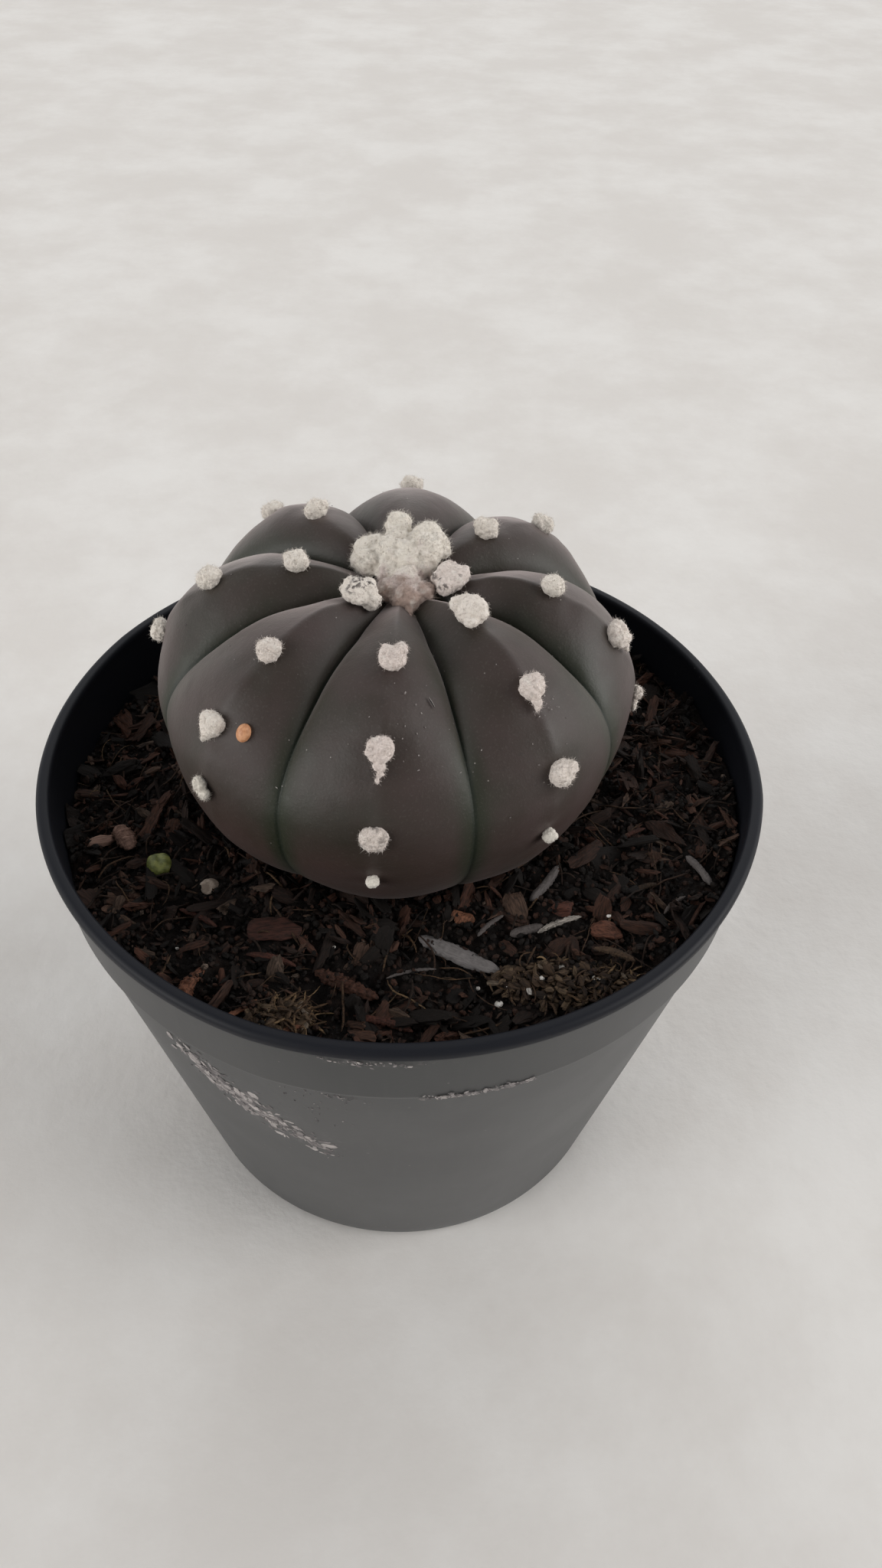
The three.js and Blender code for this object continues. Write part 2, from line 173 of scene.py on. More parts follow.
def soil_top(x, y):
    """The height of the CAD soil's top."""
    waves = np.sin(x / 7 + 1) * np.cos(y / 9) + np.sin(x / 4 - y / 5) / 2
    return SOIL_Z + SOIL_TILT * x / RIM_RADIUS + SOIL_WAVES * waves


# ---- Meshes ----
def linked(name, data):
    """A new object in the scene."""
    obj = bpy.data.objects.new(name, data)
    bpy.context.scene.collection.objects.link(obj)
    return obj


def mesh_of(name, points, faces):
    mesh = bpy.data.meshes.new(name)
    mesh.from_pydata(np.asarray(points, float).tolist(), [], faces)
    return mesh


def piece(name, points, faces, material, slot, smooth=True, replaces=(), **attributes):
    """A piece of the object from points in mm. Each attribute has a value, or a vector, for each point."""
    mesh = mesh_of(name, np.asarray(points, float) * MM, faces)
    for key, values in attributes.items():
        values = np.asarray(values, np.float32)
        vector = values.ndim == 2
        layer = mesh.attributes.new(key, "FLOAT_VECTOR" if vector else "FLOAT", "POINT")
        layer.data.foreach_set("vector" if vector else "value", values.ravel())
    mesh.polygons.foreach_set("use_smooth", [smooth] * len(mesh.polygons))
    mesh.materials.append(material)
    obj = linked(name, mesh)
    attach(obj, "root")
    if replaces:
        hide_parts(*replaces)
    return obj


def modified(points, faces, kind, **settings):
    """The points and faces that one modifier makes of a mesh."""
    mesh = mesh_of("draft", points, faces)
    obj = linked("draft", mesh)
    modifier = obj.modifiers.new(kind, kind)
    for key, value in settings.items():
        setattr(modifier, key, value)
    result = obj.evaluated_get(bpy.context.evaluated_depsgraph_get()).to_mesh()
    out = np.empty(len(result.vertices) * 3, np.float32)
    result.vertices.foreach_get("co", out)
    out_faces = [list(p.vertices) for p in result.polygons]
    obj.to_mesh_clear()
    bpy.data.objects.remove(obj)
    bpy.data.meshes.remove(mesh)
    return out.reshape(-1, 3).astype(float), out_faces


def normals_of(points, faces):
    """The outward normal at each point of a mesh."""
    mesh = mesh_of("draft", points, faces)
    out = np.empty(len(points) * 3, np.float32)
    mesh.vertex_normals.foreach_get("vector", out)
    bpy.data.meshes.remove(mesh)
    return out.reshape(-1, 3).astype(float)


BALLS = {}


def ball(detail):
    """Points and triangles of a unit icosphere; each step of detail has four times the triangles."""
    if detail not in BALLS:
        grid = bmesh.new()
        bmesh.ops.create_icosphere(grid, subdivisions=detail, radius=1)
        grid.verts.index_update()
        points = np.array([v.co for v in grid.verts])
        BALLS[detail] = (points, [[v.index for v in f.verts] for f in grid.faces])
        grid.free()
    return BALLS[detail]


class Heap:
    """Many closed bodies gathered into one piece, each with its own attribute values."""

    def __init__(self):
        self.points, self.faces, self.values, self.count = [], [], {}, 0

    def add(self, points, faces, **values):
        self.points.append(np.asarray(points, float))
        self.faces += [[i + self.count for i in face] for face in faces]
        for key, value in values.items():
            value = np.asarray(value, float)
            if value.ndim == 0 or value.shape == (3,):
                value = np.repeat(value[None], len(points), axis=0)
            self.values.setdefault(key, []).append(value)
        self.count += len(points)

    def make(self, name, material, slot, smooth=True, replaces=()):
        values = {key: np.concatenate(value) for key, value in self.values.items()}
        points = np.concatenate(self.points)
        return piece(name, points, self.faces, material, slot, smooth, replaces, **values)


def wrapped(rings, first=None, last=None):
    """A closed surface through rings of equal length, counterclockwise seen from the last ring's side.
    An end is closed by a point, or is left for a ring that closes on itself when it isn't given."""
    rings = np.asarray(rings, float)
    rows, columns = rings.shape[:2]
    index = np.arange(rows * columns).reshape(rows, columns)
    following = np.roll(index, -1, axis=1)
    faces = np.stack([index[:-1], following[:-1], following[1:], index[1:]], -1).reshape(-1, 4).tolist()
    points = [rings.reshape(-1, 3)]
    count = rows * columns
    for cap, row, swap in ((first, 0, True), (last, rows - 1, False)):
        if cap is None:
            continue
        points.append(np.asarray(cap, float)[None])
        a, b = index[row], following[row]
        if swap:
            a, b = b, a
        faces += [[int(i), int(j), count] for i, j in zip(a, b)]
        count += 1
    return np.concatenate(points), faces


def tube(path, width, height, columns=10, seed=0, ragged=0.0, ridges=0.0, point=6):
    """A closed strip or twig along points in mm, with an oval section that lies flat.
    A low point number draws its ends out."""
    path = np.asarray(path, float)
    along = unit(np.gradient(path, axis=0))
    side = unit(np.cross(along, [0.0, 0.0, 1.0]))
    up = np.cross(side, along)
    angles = 2 * np.pi * np.arange(columns) / columns
    share = np.linspace(-1, 1, len(path))
    taper = np.clip(1 - np.abs(share) ** point, 0.05, 1) ** 0.5
    rings = []
    for k, place in enumerate(path):
        wobble = np.array([
            1
            + ragged * noise.noise(Vector((math.cos(a) * 1.3, math.sin(a) * 1.3, k * 0.45 + seed)))
            + ridges * noise.noise(Vector((math.cos(a) * 4, math.sin(a) * 4, k * 0.06 + seed)))
            for a in angles
        ])
        out = np.outer(np.cos(angles) * width / 2, side[k]) + np.outer(np.sin(angles) * height / 2, up[k])
        rings.append(place + out * (wobble * taper[k])[:, None])
    points, faces = wrapped(rings, path[0] - along[0] * height * 0.1, path[-1] + along[-1] * height * 0.1)
    return points, [face[::-1] for face in faces]


def shard(seed, size, detail=2, cuts=12, square=0.7, power=2.0):
    """A broken bit of bark or stone: a body cut flat by planes, then stretched. Its long side is x.
    The body is a ball at a power of 2 and nears a block above that."""
    random = Random(seed)
    directions, faces = ball(detail)
    reach = block_reach(directions, power)
    for _ in range(cuts):
        normal = unit([random.gauss(0, 1) for _ in range(3)])
        facing = directions @ normal
        depth = random.uniform(square, 0.98)
        reach = np.where(facing > 1e-3, np.minimum(reach, depth / np.maximum(facing, 1e-3)), reach)
    return directions * reach[:, None] * np.asarray(size, float) / 2, faces


def turned(points, heading=0.0, pitch=0.0, roll=0.0):
    """Points turned about X, then Y, then Z, by angles in radians."""
    z, y, x = (Matrix.Rotation(angle, 3, axis) for angle, axis in ((heading, "Z"), (pitch, "Y"), (roll, "X")))
    return points @ np.array(z @ y @ x).T


# ---- Node materials ----
class Look:
    """A node material. Each helper adds one node and returns the socket that it makes."""

    def __init__(self, name, roughness=0.8, **sockets):
        self.material = bpy.data.materials.new(name)
        self.material.use_nodes = True
        self.tree = self.material.node_tree
        self.surface = self.tree.nodes["Principled BSDF"]
        self.surface.inputs["Roughness"].default_value = roughness
        for key, value in sockets.items():
            self.surface.inputs[key.replace("_", " ").title().replace("Ior", "IOR")].default_value = value
        self.object_space = self.node("ShaderNodeTexCoord").outputs["Object"]

    def node(self, kind, **settings):
        made = self.tree.nodes.new(kind)
        for key, value in settings.items():
            setattr(made, key, value)
        return made

    def put(self, socket, value):
        if isinstance(value, bpy.types.NodeSocket):
            self.tree.links.new(value, socket)
        elif socket.type == "RGBA" and len(value) == 3:
            socket.default_value = (*value, 1)
        else:
            socket.default_value = value

    def set(self, name, value):
        self.put(self.surface.inputs[name], value)

    def attribute(self, name, vector=False):
        made = self.node("ShaderNodeAttribute", attribute_name=name)
        return made.outputs["Vector" if vector else "Fac"]

    def stretch(self, scale, space=None):
        """Coordinates multiplied by scale along each axis."""
        made = self.node("ShaderNodeVectorMath", operation="MULTIPLY")
        self.put(made.inputs[0], space or self.object_space)
        made.inputs[1].default_value = scale
        return made.outputs[0]

    def noise(self, size, detail=3, space=None, distortion=0.0, roughness=0.55):
        """Noise whose widest lumps are about size mm; a given space is already in mm."""
        made = self.node("ShaderNodeTexNoise")
        self.put(made.inputs["Vector"], space or self.object_space)
        made.inputs["Scale"].default_value = 1 / size if space else 1 / (size * MM)
        made.inputs["Detail"].default_value = detail
        made.inputs["Distortion"].default_value = distortion
        made.inputs["Roughness"].default_value = roughness
        return made.outputs["Fac"]

    def cells(self, size):
        """The distance from the middle of the nearest cell, for cells of about size mm."""
        made = self.node("ShaderNodeTexVoronoi", feature="F1")
        self.put(made.inputs["Vector"], self.object_space)
        made.inputs["Scale"].default_value = 1 / (size * MM)
        return made.outputs["Distance"]

    def maths(self, operation, a, b=0.0, clamp=False):
        made = self.node("ShaderNodeMath", operation=operation, use_clamp=clamp)
        self.put(made.inputs[0], a)
        self.put(made.inputs[1], b)
        return made.outputs[0]

    def between(self, value, low, high, start=0.0, end=1.0):
        """Goes smoothly from start at low to end at high."""
        made = self.node("ShaderNodeMapRange", interpolation_type="SMOOTHSTEP")
        self.put(made.inputs["Value"], value)
        for key, number in (("From Min", low), ("From Max", high), ("To Min", start), ("To Max", end)):
            made.inputs[key].default_value = number
        return made.outputs[0]

    def ramp(self, value, *stops):
        """A colour for each value, from (place, colour) stops."""
        made = self.node("ShaderNodeValToRGB")
        self.put(made.inputs[0], value)
        elements = made.color_ramp.elements
        while len(elements) < len(stops):
            elements.new(1)
        for element, (place, colour) in zip(elements, stops):
            element.position = place
            element.color = (*colour, 1)
        return made.outputs[0]

    def mix(self, share, a, b, blend="MIX"):
        made = self.node("ShaderNodeMix", data_type="RGBA", blend_type=blend)
        self.put(made.inputs[0], share)
        self.put(made.inputs[6], a)
        self.put(made.inputs[7], b)
        return made.outputs[2]

    def bump(self, height, depth, strength=1.0):
        """Bump whose full height is depth mm."""
        made = self.node("ShaderNodeBump")
        self.put(made.inputs["Height"], height)
        made.inputs["Distance"].default_value = depth * MM
        made.inputs["Strength"].default_value = strength
        self.set("Normal", made.outputs[0])


def skin_look():
    """Waxy brown-grey skin, greener beside the furrows, with pores and dust, a painted highlight along each crest
    and a thin line of painted shade in each furrow.
    """
    look = Look(
        "cactus_skin", specular_ior_level=0.38, sheen_roughness=0.42,
        sheen_tint=(1.0, 0.87, 0.84, 1.0),
    )
    turn, down = look.attribute("turn"), look.attribute("down")
    patches = look.noise(14, 3)
    base = look.ramp(
        patches,
        (0.32, (0.025, 0.022, 0.015)),
        (0.5, (0.033, 0.023, 0.018)),
        (0.68, (0.043, 0.028, 0.025)),
    )
    mottled = look.between(patches, 0.35, 0.6, 0.8, 0.25)
    flank = look.maths("MULTIPLY", look.between(turn, 0.45, 0.95), mottled)
    base = look.mix(flank, base, (0.024, 0.027, 0.017))
    # Painted highlight: each crest is lighter along its ridge.
    crest = look.between(turn, 0.0, 0.10, 1.0, 0.0)
    base = look.mix(look.maths("MULTIPLY", crest, 0.12), base, (0.10, 0.085, 0.08))
    foot = look.maths("MULTIPLY", look.between(down, 42, 58), look.noise(9, 2))
    base = look.mix(foot, base, (0.060, 0.032, 0.026))
    edge = look.maths("MULTIPLY", look.between(turn, 0.74, 0.97), look.between(down, 18, 46, 0.15, 0.9))
    base = look.mix(edge, base, (0.015, 0.021, 0.009))
    # Painted shade: a thin dark green line down the bottom of each furrow.
    line = look.maths("MULTIPLY", look.between(turn, 0.95, 0.985), look.between(down, 6, 14))
    base = look.mix(line, base, (0.006, 0.012, 0.004))
    pores = look.noise(0.35, 2)
    base = look.mix(look.between(pores, 0.55, 0.75, 0.0, 0.22), base, (0.10, 0.09, 0.08))
    base = look.mix(look.between(look.noise(0.8, 2), 0.25, 0.4, 0.3, 0.0), base, (0.02, 0.018, 0.015))
    specks = look.between(look.cells(1.9), 0.03, 0.07, 1.0, 0.0)
    scattered = look.maths("MULTIPLY", specks, look.between(look.noise(9, 1), 0.54, 0.64))
    base = look.mix(look.maths("MULTIPLY", scattered, 0.6), base, (0.40, 0.37, 0.34))
    look.set("Base Color", base)
    look.set("Sheen Weight", look.between(down, 36, 54, 0.42, 0.06))
    look.set("Roughness", look.between(patches, 0.3, 0.7, 0.46, 0.58))
    height = look.maths("ADD", look.maths("MULTIPLY", pores, 0.5), look.noise(2.2, 3))
    look.bump(height, 0.07, 0.8)
    return look.material


def wool_look():
    """Felted wool: cream to pinkish grey, with painted shade between its curls; an attribute darkens it where it
    is dirty and, as painted shade, where it meets the skin.
    """
    look = Look("areole_wool", roughness=1.0, sheen_weight=0.2, sheen_roughness=0.5)
    tint, stain = look.attribute("tint"), look.attribute("stain")
    curls = look.noise(0.32, 4, distortion=0.8)
    base = look.mix(tint, (0.84, 0.79, 0.70), (0.70, 0.60, 0.56))
    base = look.mix(look.maths("SUBTRACT", tint, 1.0, clamp=True), base, (0.42, 0.31, 0.26))
    # Painted shade: darker between the curls.
    base = look.mix(look.between(curls, 0.30, 0.48, 0.6, 0.0), base, (0.36, 0.28, 0.24))
    base = look.mix(look.between(look.noise(1.5, 2), 0.55, 0.7, 0.0, 0.4), base, (0.86, 0.82, 0.75))
    # Dirty patches of the wool, and painted shade near the skin, come from the same attribute.
    dirt_and_shade = look.maths("MULTIPLY", stain, look.between(look.noise(0.6, 3), 0.44, 0.56))
    base = look.mix(dirt_and_shade, base, (0.13, 0.11, 0.10))
    look.set("Base Color", base)
    look.bump(curls, 0.18)
    return look.material


def pot_look():
    """Black plastic: near-black inside and on the lip; outside a smooth grey that is partly a thin coat of dust
    and partly painted reflection of the pale floor, with faint painted stripes of reflection running up it.
    """
    look = Look("pot_plastic", roughness=0.42)
    outside = look.attribute("outside")
    # Outside, the plastic is painted lighter than inside and on the lip: partly a thin coat of dust, partly
    # painted reflection of the pale floor.
    film_and_reflection = look.noise(30, 3)
    # Painted reflection: faint lighter stripes running up the outer wall.
    painted_reflection_stripes = look.noise(1, 2, space=look.stretch((500, 500, 60)))
    grey = look.mix(look.between(film_and_reflection, 0.3, 0.7), (0.028, 0.029, 0.029), (0.033, 0.033, 0.033))
    grey = look.mix(look.between(painted_reflection_stripes, 0.5, 0.75, 0.0, 0.08), grey, (0.085, 0.085, 0.082))
    base = look.mix(outside, (0.011, 0.012, 0.016), grey)
    smear = look.attribute("smear")
    flecks = look.between(look.noise(1.3, 5, roughness=0.7), 0.50, 0.64)
    chalk = look.maths("MULTIPLY", smear, flecks)
    base = look.mix(look.maths("MULTIPLY", chalk, 0.5), base, (0.26, 0.245, 0.24))
    dust = look.between(look.cells(2.6), 0.04, 0.09, 1.0, 0.0)
    dust = look.maths("MULTIPLY", dust, look.between(look.noise(12, 2), 0.52, 0.64))
    base = look.mix(look.maths("MULTIPLY", dust, 0.3), base, (0.26, 0.245, 0.23))
    look.set("Base Color", base)
    look.set("Sheen Weight", look.maths("MULTIPLY", outside, 0.09))
    look.set("Specular IOR Level", look.between(outside, 0, 1, 0.15, 0.42))
    look.set("Roughness", look.between(look.noise(25, 3), 0.3, 0.7, 0.44, 0.50))
    fine = look.maths("ADD", look.maths("MULTIPLY", look.noise(0.6, 2), 0.4), look.noise(5, 2))
    look.bump(fine, 0.03, 0.5)
    return look.material


def bark_look(name, *colours, grain=0.5, gloss=0.8, contrast=0.65, shine=0.25):
    """Bark, wood or fibre. The shade attribute picks the colour, and the grain runs along the piece."""
    look = Look(name, roughness=gloss, specular_ior_level=shine)
    shade = look.attribute("shade")
    fibres = look.noise(grain, 4, space=look.stretch((0.35, 2.2, 2.2), look.attribute("grain", vector=True)))
    places = np.linspace(0, 1, len(colours))
    base = look.ramp(shade, *zip(places.tolist(), colours))
    base = look.mix(look.between(fibres, 0.35, 0.6, contrast, 0.0), base, (0.006, 0.005, 0.004))
    pale = look.between(fibres, 0.55, 0.8, 0.0, 0.5 * contrast)
    base = look.mix(pale, base, (1.9, 1.8, 1.7), blend="MULTIPLY")
    look.set("Base Color", base)
    look.bump(fibres, 0.12)
    return look.material


def soil_look():
    """Dark, damp peat and composted bark between the chips."""
    look = Look("peat", roughness=0.9, specular_ior_level=0.2)
    crumbs = look.cells(1.1)
    base = look.ramp(
        look.noise(2.5, 5),
        (0.3, (0.003, 0.0022, 0.0018)),
        (0.55, (0.008, 0.0055, 0.0045)),
        (0.75, (0.020, 0.011, 0.008)),
    )
    look.set("Base Color", base)
    look.bump(look.maths("ADD", crumbs, look.noise(0.6, 4)), 0.5)
    return look.material


def plain_look(name, low, high, size, roughness, depth):
    """A mottled surface between two colours."""
    look = Look(name, roughness=roughness)
    mottle = look.noise(size, 4)
    look.set("Base Color", look.mix(look.between(mottle, 0.35, 0.65), low, high))
    look.bump(mottle, depth)
    return look.material


# ---- Stage: camera, floor and light ----
CAMERA_AIM = (6.08, -7.95, POT_HEIGHT)
CAMERA_DISTANCE = 176
CAMERA_ELEVATION = math.radians(44.95)
CAMERA_ROLL = math.radians(2.02)
CAMERA_LENS = 27.05
FLOOR_HALF = 3.0  # in metres


def make_camera():
    """The view: from the front, looking down at 45 degrees, with the phone tilted by two degrees."""
    forward = Vector((0, math.cos(CAMERA_ELEVATION), -math.sin(CAMERA_ELEVATION)))
    level, upright = Vector((1, 0, 0)), Vector((0, math.sin(CAMERA_ELEVATION), math.cos(CAMERA_ELEVATION)))
    right = level * math.cos(CAMERA_ROLL) + upright * math.sin(CAMERA_ROLL)
    up = upright * math.cos(CAMERA_ROLL) - level * math.sin(CAMERA_ROLL)
    data = bpy.data.cameras.new("camera")
    data.lens = CAMERA_LENS
    data.sensor_width = 36
    data.clip_start = 0.01
    data.clip_end = 50
    camera = bpy.data.objects.new("camera", data)
    place = Vector(CAMERA_AIM) * MM - forward * CAMERA_DISTANCE * MM
    camera.matrix_world = Matrix.Translation(place) @ Matrix((right, up, -forward)).transposed().to_4x4()
    bpy.context.scene.collection.objects.link(camera)
    bpy.context.scene.camera = camera


def make_floor():
    """Pale painted floor, a little mottled."""
    corners = [(FLOOR_HALF * x, FLOOR_HALF * y, 0) for x, y in ((-1, -1), (1, -1), (1, 1), (-1, 1))]
    mesh = mesh_of("floor", corners, [[0, 1, 2, 3]])
    look = Look("floor_paint", roughness=0.9, specular_ior_level=0.1)
    mottle = look.noise(60, 6, roughness=0.65)
    share = look.between(mottle, 0.35, 0.7)
    look.set("Base Color", look.mix(share, (0.74, 0.71, 0.675), (0.82, 0.80, 0.77)))
    look.bump(look.noise(3, 4), 0.15)
    mesh.materials.append(look.material)
    floor = linked("floor", mesh)


def make_light(name, source, strength, spread, colour):
    """Soft daylight from a direction, as even over the floor as light from a far window."""
    data = bpy.data.lights.new(name, "SUN")
    data.angle = math.radians(spread)
    data.energy = strength
    data.color = colour
    light = linked(name, data)
    light.rotation_mode = "QUATERNION"
    light.rotation_quaternion = (-Vector(source)).to_track_quat("-Z", "Y")


def make_lights():
    """Daylight from behind and both sides; the side that the camera is on is the darkest."""
    make_light("light_back", (0.1, 0.85, 0.8), 0.5, 60, (1.0, 0.99, 0.97))
    make_light("light_left", (-1.0, -0.55, 0.32), 1.9, 45, (1.0, 0.985, 0.97))
    make_light("light_right", (1.0, -0.1, 0.38), 2.0, 45, (1.0, 0.98, 0.965))
    world = bpy.data.worlds.new("room")
    world.use_nodes = True
    tree = world.node_tree
    direction = tree.nodes.new("ShaderNodeTexCoord").outputs["Generated"]
    parts = tree.nodes.new("ShaderNodeSeparateXYZ")
    tree.links.new(direction, parts.inputs[0])
    strength = tree.nodes.new("ShaderNodeMath")
    strength.operation = "MULTIPLY"
    # The room is brighter behind the plant than in front of it, and dimmer overhead.
    for factor, (axis, *limits) in enumerate((("Y", -0.8, 0.8, 0.32, 0.98), ("Z", 0.1, 1.0, 1.0, 0.42))):
        fade = tree.nodes.new("ShaderNodeMapRange")
        for key, number in zip(("From Min", "From Max", "To Min", "To Max"), limits):
            fade.inputs[key].default_value = number
        tree.links.new(parts.outputs[axis], fade.inputs["Value"])
        tree.links.new(fade.outputs[0], strength.inputs[factor])
    background = tree.nodes["Background"]
    background.inputs["Color"].default_value = (0.97, 0.98, 1.0, 1)
    tree.links.new(strength.outputs[0], background.inputs["Strength"])
    bpy.context.scene.world = world


# ---- Pot ----
OUTER_WALL = [
    (BASE_RADIUS, BASE_ROUNDING),
    (WALL_TOP_RADIUS, STEP_Z),
    (COLLAR_FOOT_RADIUS, STEP_Z + STEP_HEIGHT),
    (COLLAR_TOP_RADIUS, POT_HEIGHT - LIP_HEIGHT),
]


def radius_on(wall, z):
    """The radius of a wall of (radius, z) points, at one height or many."""
    return np.interp(z, [p[1] for p in wall], [p[0] for p in wall])


def outer_radius(z):
    return radius_on(OUTER_WALL, z)


INNER_WALL = [
    (outer_radius(FLOOR_Z) - POT_WALL, FLOOR_Z),
    (WALL_TOP_RADIUS - POT_WALL, STEP_Z),
    (COLLAR_FOOT_RADIUS - POT_WALL, STEP_Z + STEP_HEIGHT),
    (RIM_RADIUS - LIP_WIDTH, POT_HEIGHT - LIP_HEIGHT),
]


def inner_radius(z):
    return radius_on(INNER_WALL, z)


def rounded(profile, radius, steps=4):
    """A profile of (r, z) points with its corners rounded off."""
    profile = [np.asarray(p, float) for p in profile]
    out = [profile[0]]
    for before, corner, after in zip(profile, profile[1:], profile[2:]):
        reach = min(radius, np.linalg.norm(before - corner) / 2.2, np.linalg.norm(after - corner) / 2.2)
        start, end = corner + unit(before - corner) * reach, corner + unit(after - corner) * reach
        for t in np.linspace(0, 1, steps):
            out.append((1 - t) ** 2 * start + 2 * t * (1 - t) * corner + t * t * end)
    return out + [profile[-1]]


def pot_profile():
    """The pot's section as (radius, z), from the middle of its foot, up outside and down inside."""
    lip_edge = LIP_HEIGHT / 4
    lip_z = POT_HEIGHT - LIP_HEIGHT
    wall_rows = [(outer_radius(z), z) for z in np.linspace(4, STEP_Z - 1.5, 30)]
    collar_rows = [(outer_radius(z), z) for z in np.linspace(STEP_Z + 1.5, lip_z - 1, 5)]
    return [
        (BASE_RADIUS - FOOT_WIDTH - FOOT_RECESS, FOOT_RECESS),
        (BASE_RADIUS - FOOT_WIDTH, 0),
        (BASE_RADIUS - BASE_ROUNDING, 0),
        (BASE_RADIUS, BASE_ROUNDING),
        *wall_rows,
        OUTER_WALL[1],
        OUTER_WALL[2],
        *collar_rows,
        OUTER_WALL[3],
        (RIM_RADIUS - lip_edge, lip_z),
        (RIM_RADIUS, lip_z + lip_edge),
        (RIM_RADIUS, POT_HEIGHT - lip_edge),
        (RIM_RADIUS - lip_edge, POT_HEIGHT),
        (RIM_RADIUS - LIP_WIDTH + lip_edge / 2, POT_HEIGHT),
        (RIM_RADIUS - LIP_WIDTH, POT_HEIGHT - lip_edge),
        *INNER_WALL[::-1],
        (20, FLOOR_Z),
    ]


def drain_cutter():
    """The bodies that cut the drain holes: a ring of them and one in the middle."""
    cutters = Heap()
    for i in range(DRAIN_HOLES + 1):
        ring = DRAIN_RING_RADIUS if i < DRAIN_HOLES else 0
        angle = 2 * math.pi * i / DRAIN_HOLES
        centre = np.array([ring * math.cos(angle), ring * math.sin(angle), 0])
        low, high = centre - [0, 0, 3], centre + [0, 0, 2 * FLOOR_Z]
        hole = circle(1, 0, 32) * DRAIN_HOLE_RADIUS
        cutters.add(*wrapped([hole + low, hole + high], low, high))
    return linked("cutters", mesh_of("cutters", np.concatenate(cutters.points), cutters.faces))


# Splashes of hard water: (azimuth, height, half width in degrees, half height in mm, strength).
SPLASHES = [
    (-120, 61, 5, 5, 0.7),
    (-112, 54, 6, 4, 0.8),
    (-103, 48, 5, 3, 0.7),
    (-76, 70.5, 8, 0.8, 0.8),
    (-90, 79.6, 9, 0.7, 0.6),
]


def make_pot():
    """The pot's turned wall, with its drain holes cut through the floor."""
    sides = 288
    angles = 2 * np.pi * np.arange(sides) / sides
    rings = np.array([circle(r, z, sides) for r, z in rounded(pot_profile(), 0.35)])
    # A moulded pot is never quite round: the rim wanders by a few tenths of a millimetre.
    sway = 0.25 * np.sin(2 * angles + 0.6) + 0.12 * np.sin(5 * angles)
    share = (rings[..., 2:3] / POT_HEIGHT) ** 2
    rings -= circle(1, 0, sides) * (np.abs(sway)[:, None] * share)
    points, faces = wrapped(rings, (0, 0, FOOT_RECESS), (0, 0, FLOOR_Z))
    cutter = drain_cutter()
    points, faces = modified(points, faces, "BOOLEAN", operation="DIFFERENCE", solver="EXACT", object=cutter)
    bpy.data.objects.remove(cutter)
    x, y, z = points.T
    below_lip = z < POT_HEIGHT - LIP_HEIGHT + 0.05
    outside = ((np.hypot(x, y) > outer_radius(z) - 0.6) & below_lip).astype(float)
    azimuth = np.degrees(np.arctan2(y, x))
    smear = np.zeros(len(points))
    for at, height, width, tall, strength in SPLASHES:
        apart = ((azimuth - at) / width) ** 2 + ((z - height) / tall) ** 2
        smear = np.maximum(smear, strength * np.exp(-apart))
    return piece(
        "nursery_pot", points, faces, pot_look(), "pot_plastic", True, ["pot"],
        outside=outside, smear=smear * outside,
    )


# Runs of scale: from one azimuth to another, their heights, how far the flakes stray in mm, their count and the
# largest one.
CRUSTS = [
    (-83, -68, (70.3, 70.6), 0.25, 150, 1.5),
    (-84, -74, (70.6, 71.0), 0.35, 60, 1.0),
    (-98, -85, (79.6, 79.8), 0.3, 60, 1.0),
    (-125, -118, (66, 59), 2.2, 80, 2.4),
    (-119, -108, (60, 51), 3.0, 190, 3.0),
    (-109, -100, (52, 44), 1.7, 110, 2.4),
    (-99, -93, (69, 68), 0.5, 25, 0.9),
    (-108, -96, (66, 62), 3.0, 40, 0.6),
]


def make_crust():
    """Flakes of dried scale on the pot's outer wall: a crust along the step and a smear of flecks."""
    random = Random(14)
    heap = Heap()
    shapes = [shard(seed, (1, 1, 1), detail=1, cuts=8, square=0.5) for seed in range(50, 58)]

    def flake(azimuth, z, size, thickness, shade):
        angle = math.radians(azimuth)
        points, faces = random.choice(shapes)
        local = turned(points * [size, size * random.uniform(0.25, 0.6), 1], random.gauss(-0.4, 0.5))
        local = local * [1, 1, thickness]
        out = np.array([math.cos(angle), math.sin(angle), 0])
        side = np.array([-math.sin(angle), math.cos(angle), 0])
        placed = local @ np.stack([side, [0, 0, 1], out]) + out * outer_radius(z) + [0, 0, z]
        heap.add(placed, faces, shade=shade, grain=local + 30 * random.random())

    for start, end, z, spread, count, largest in CRUSTS:
        for _ in range(count):
            share = random.random()
            azimuth = start + (end - start) * share
            middle = z[0] + (z[1] - z[0]) * share
            flake(
                azimuth + random.gauss(0, 1.2),
                middle + random.gauss(0, spread),
                largest * random.uniform(0.25, 1) ** 1.6,
                random.uniform(0.06, 0.22),
                random.random() ** 1.3,
            )
    colours = (0.13, 0.12, 0.12), (0.26, 0.24, 0.235), (0.50, 0.46, 0.44)
    look = bark_look("scale", *colours, grain=0.6, contrast=0.3)
    heap.make("pot_scale", look, "pot_plastic", False)


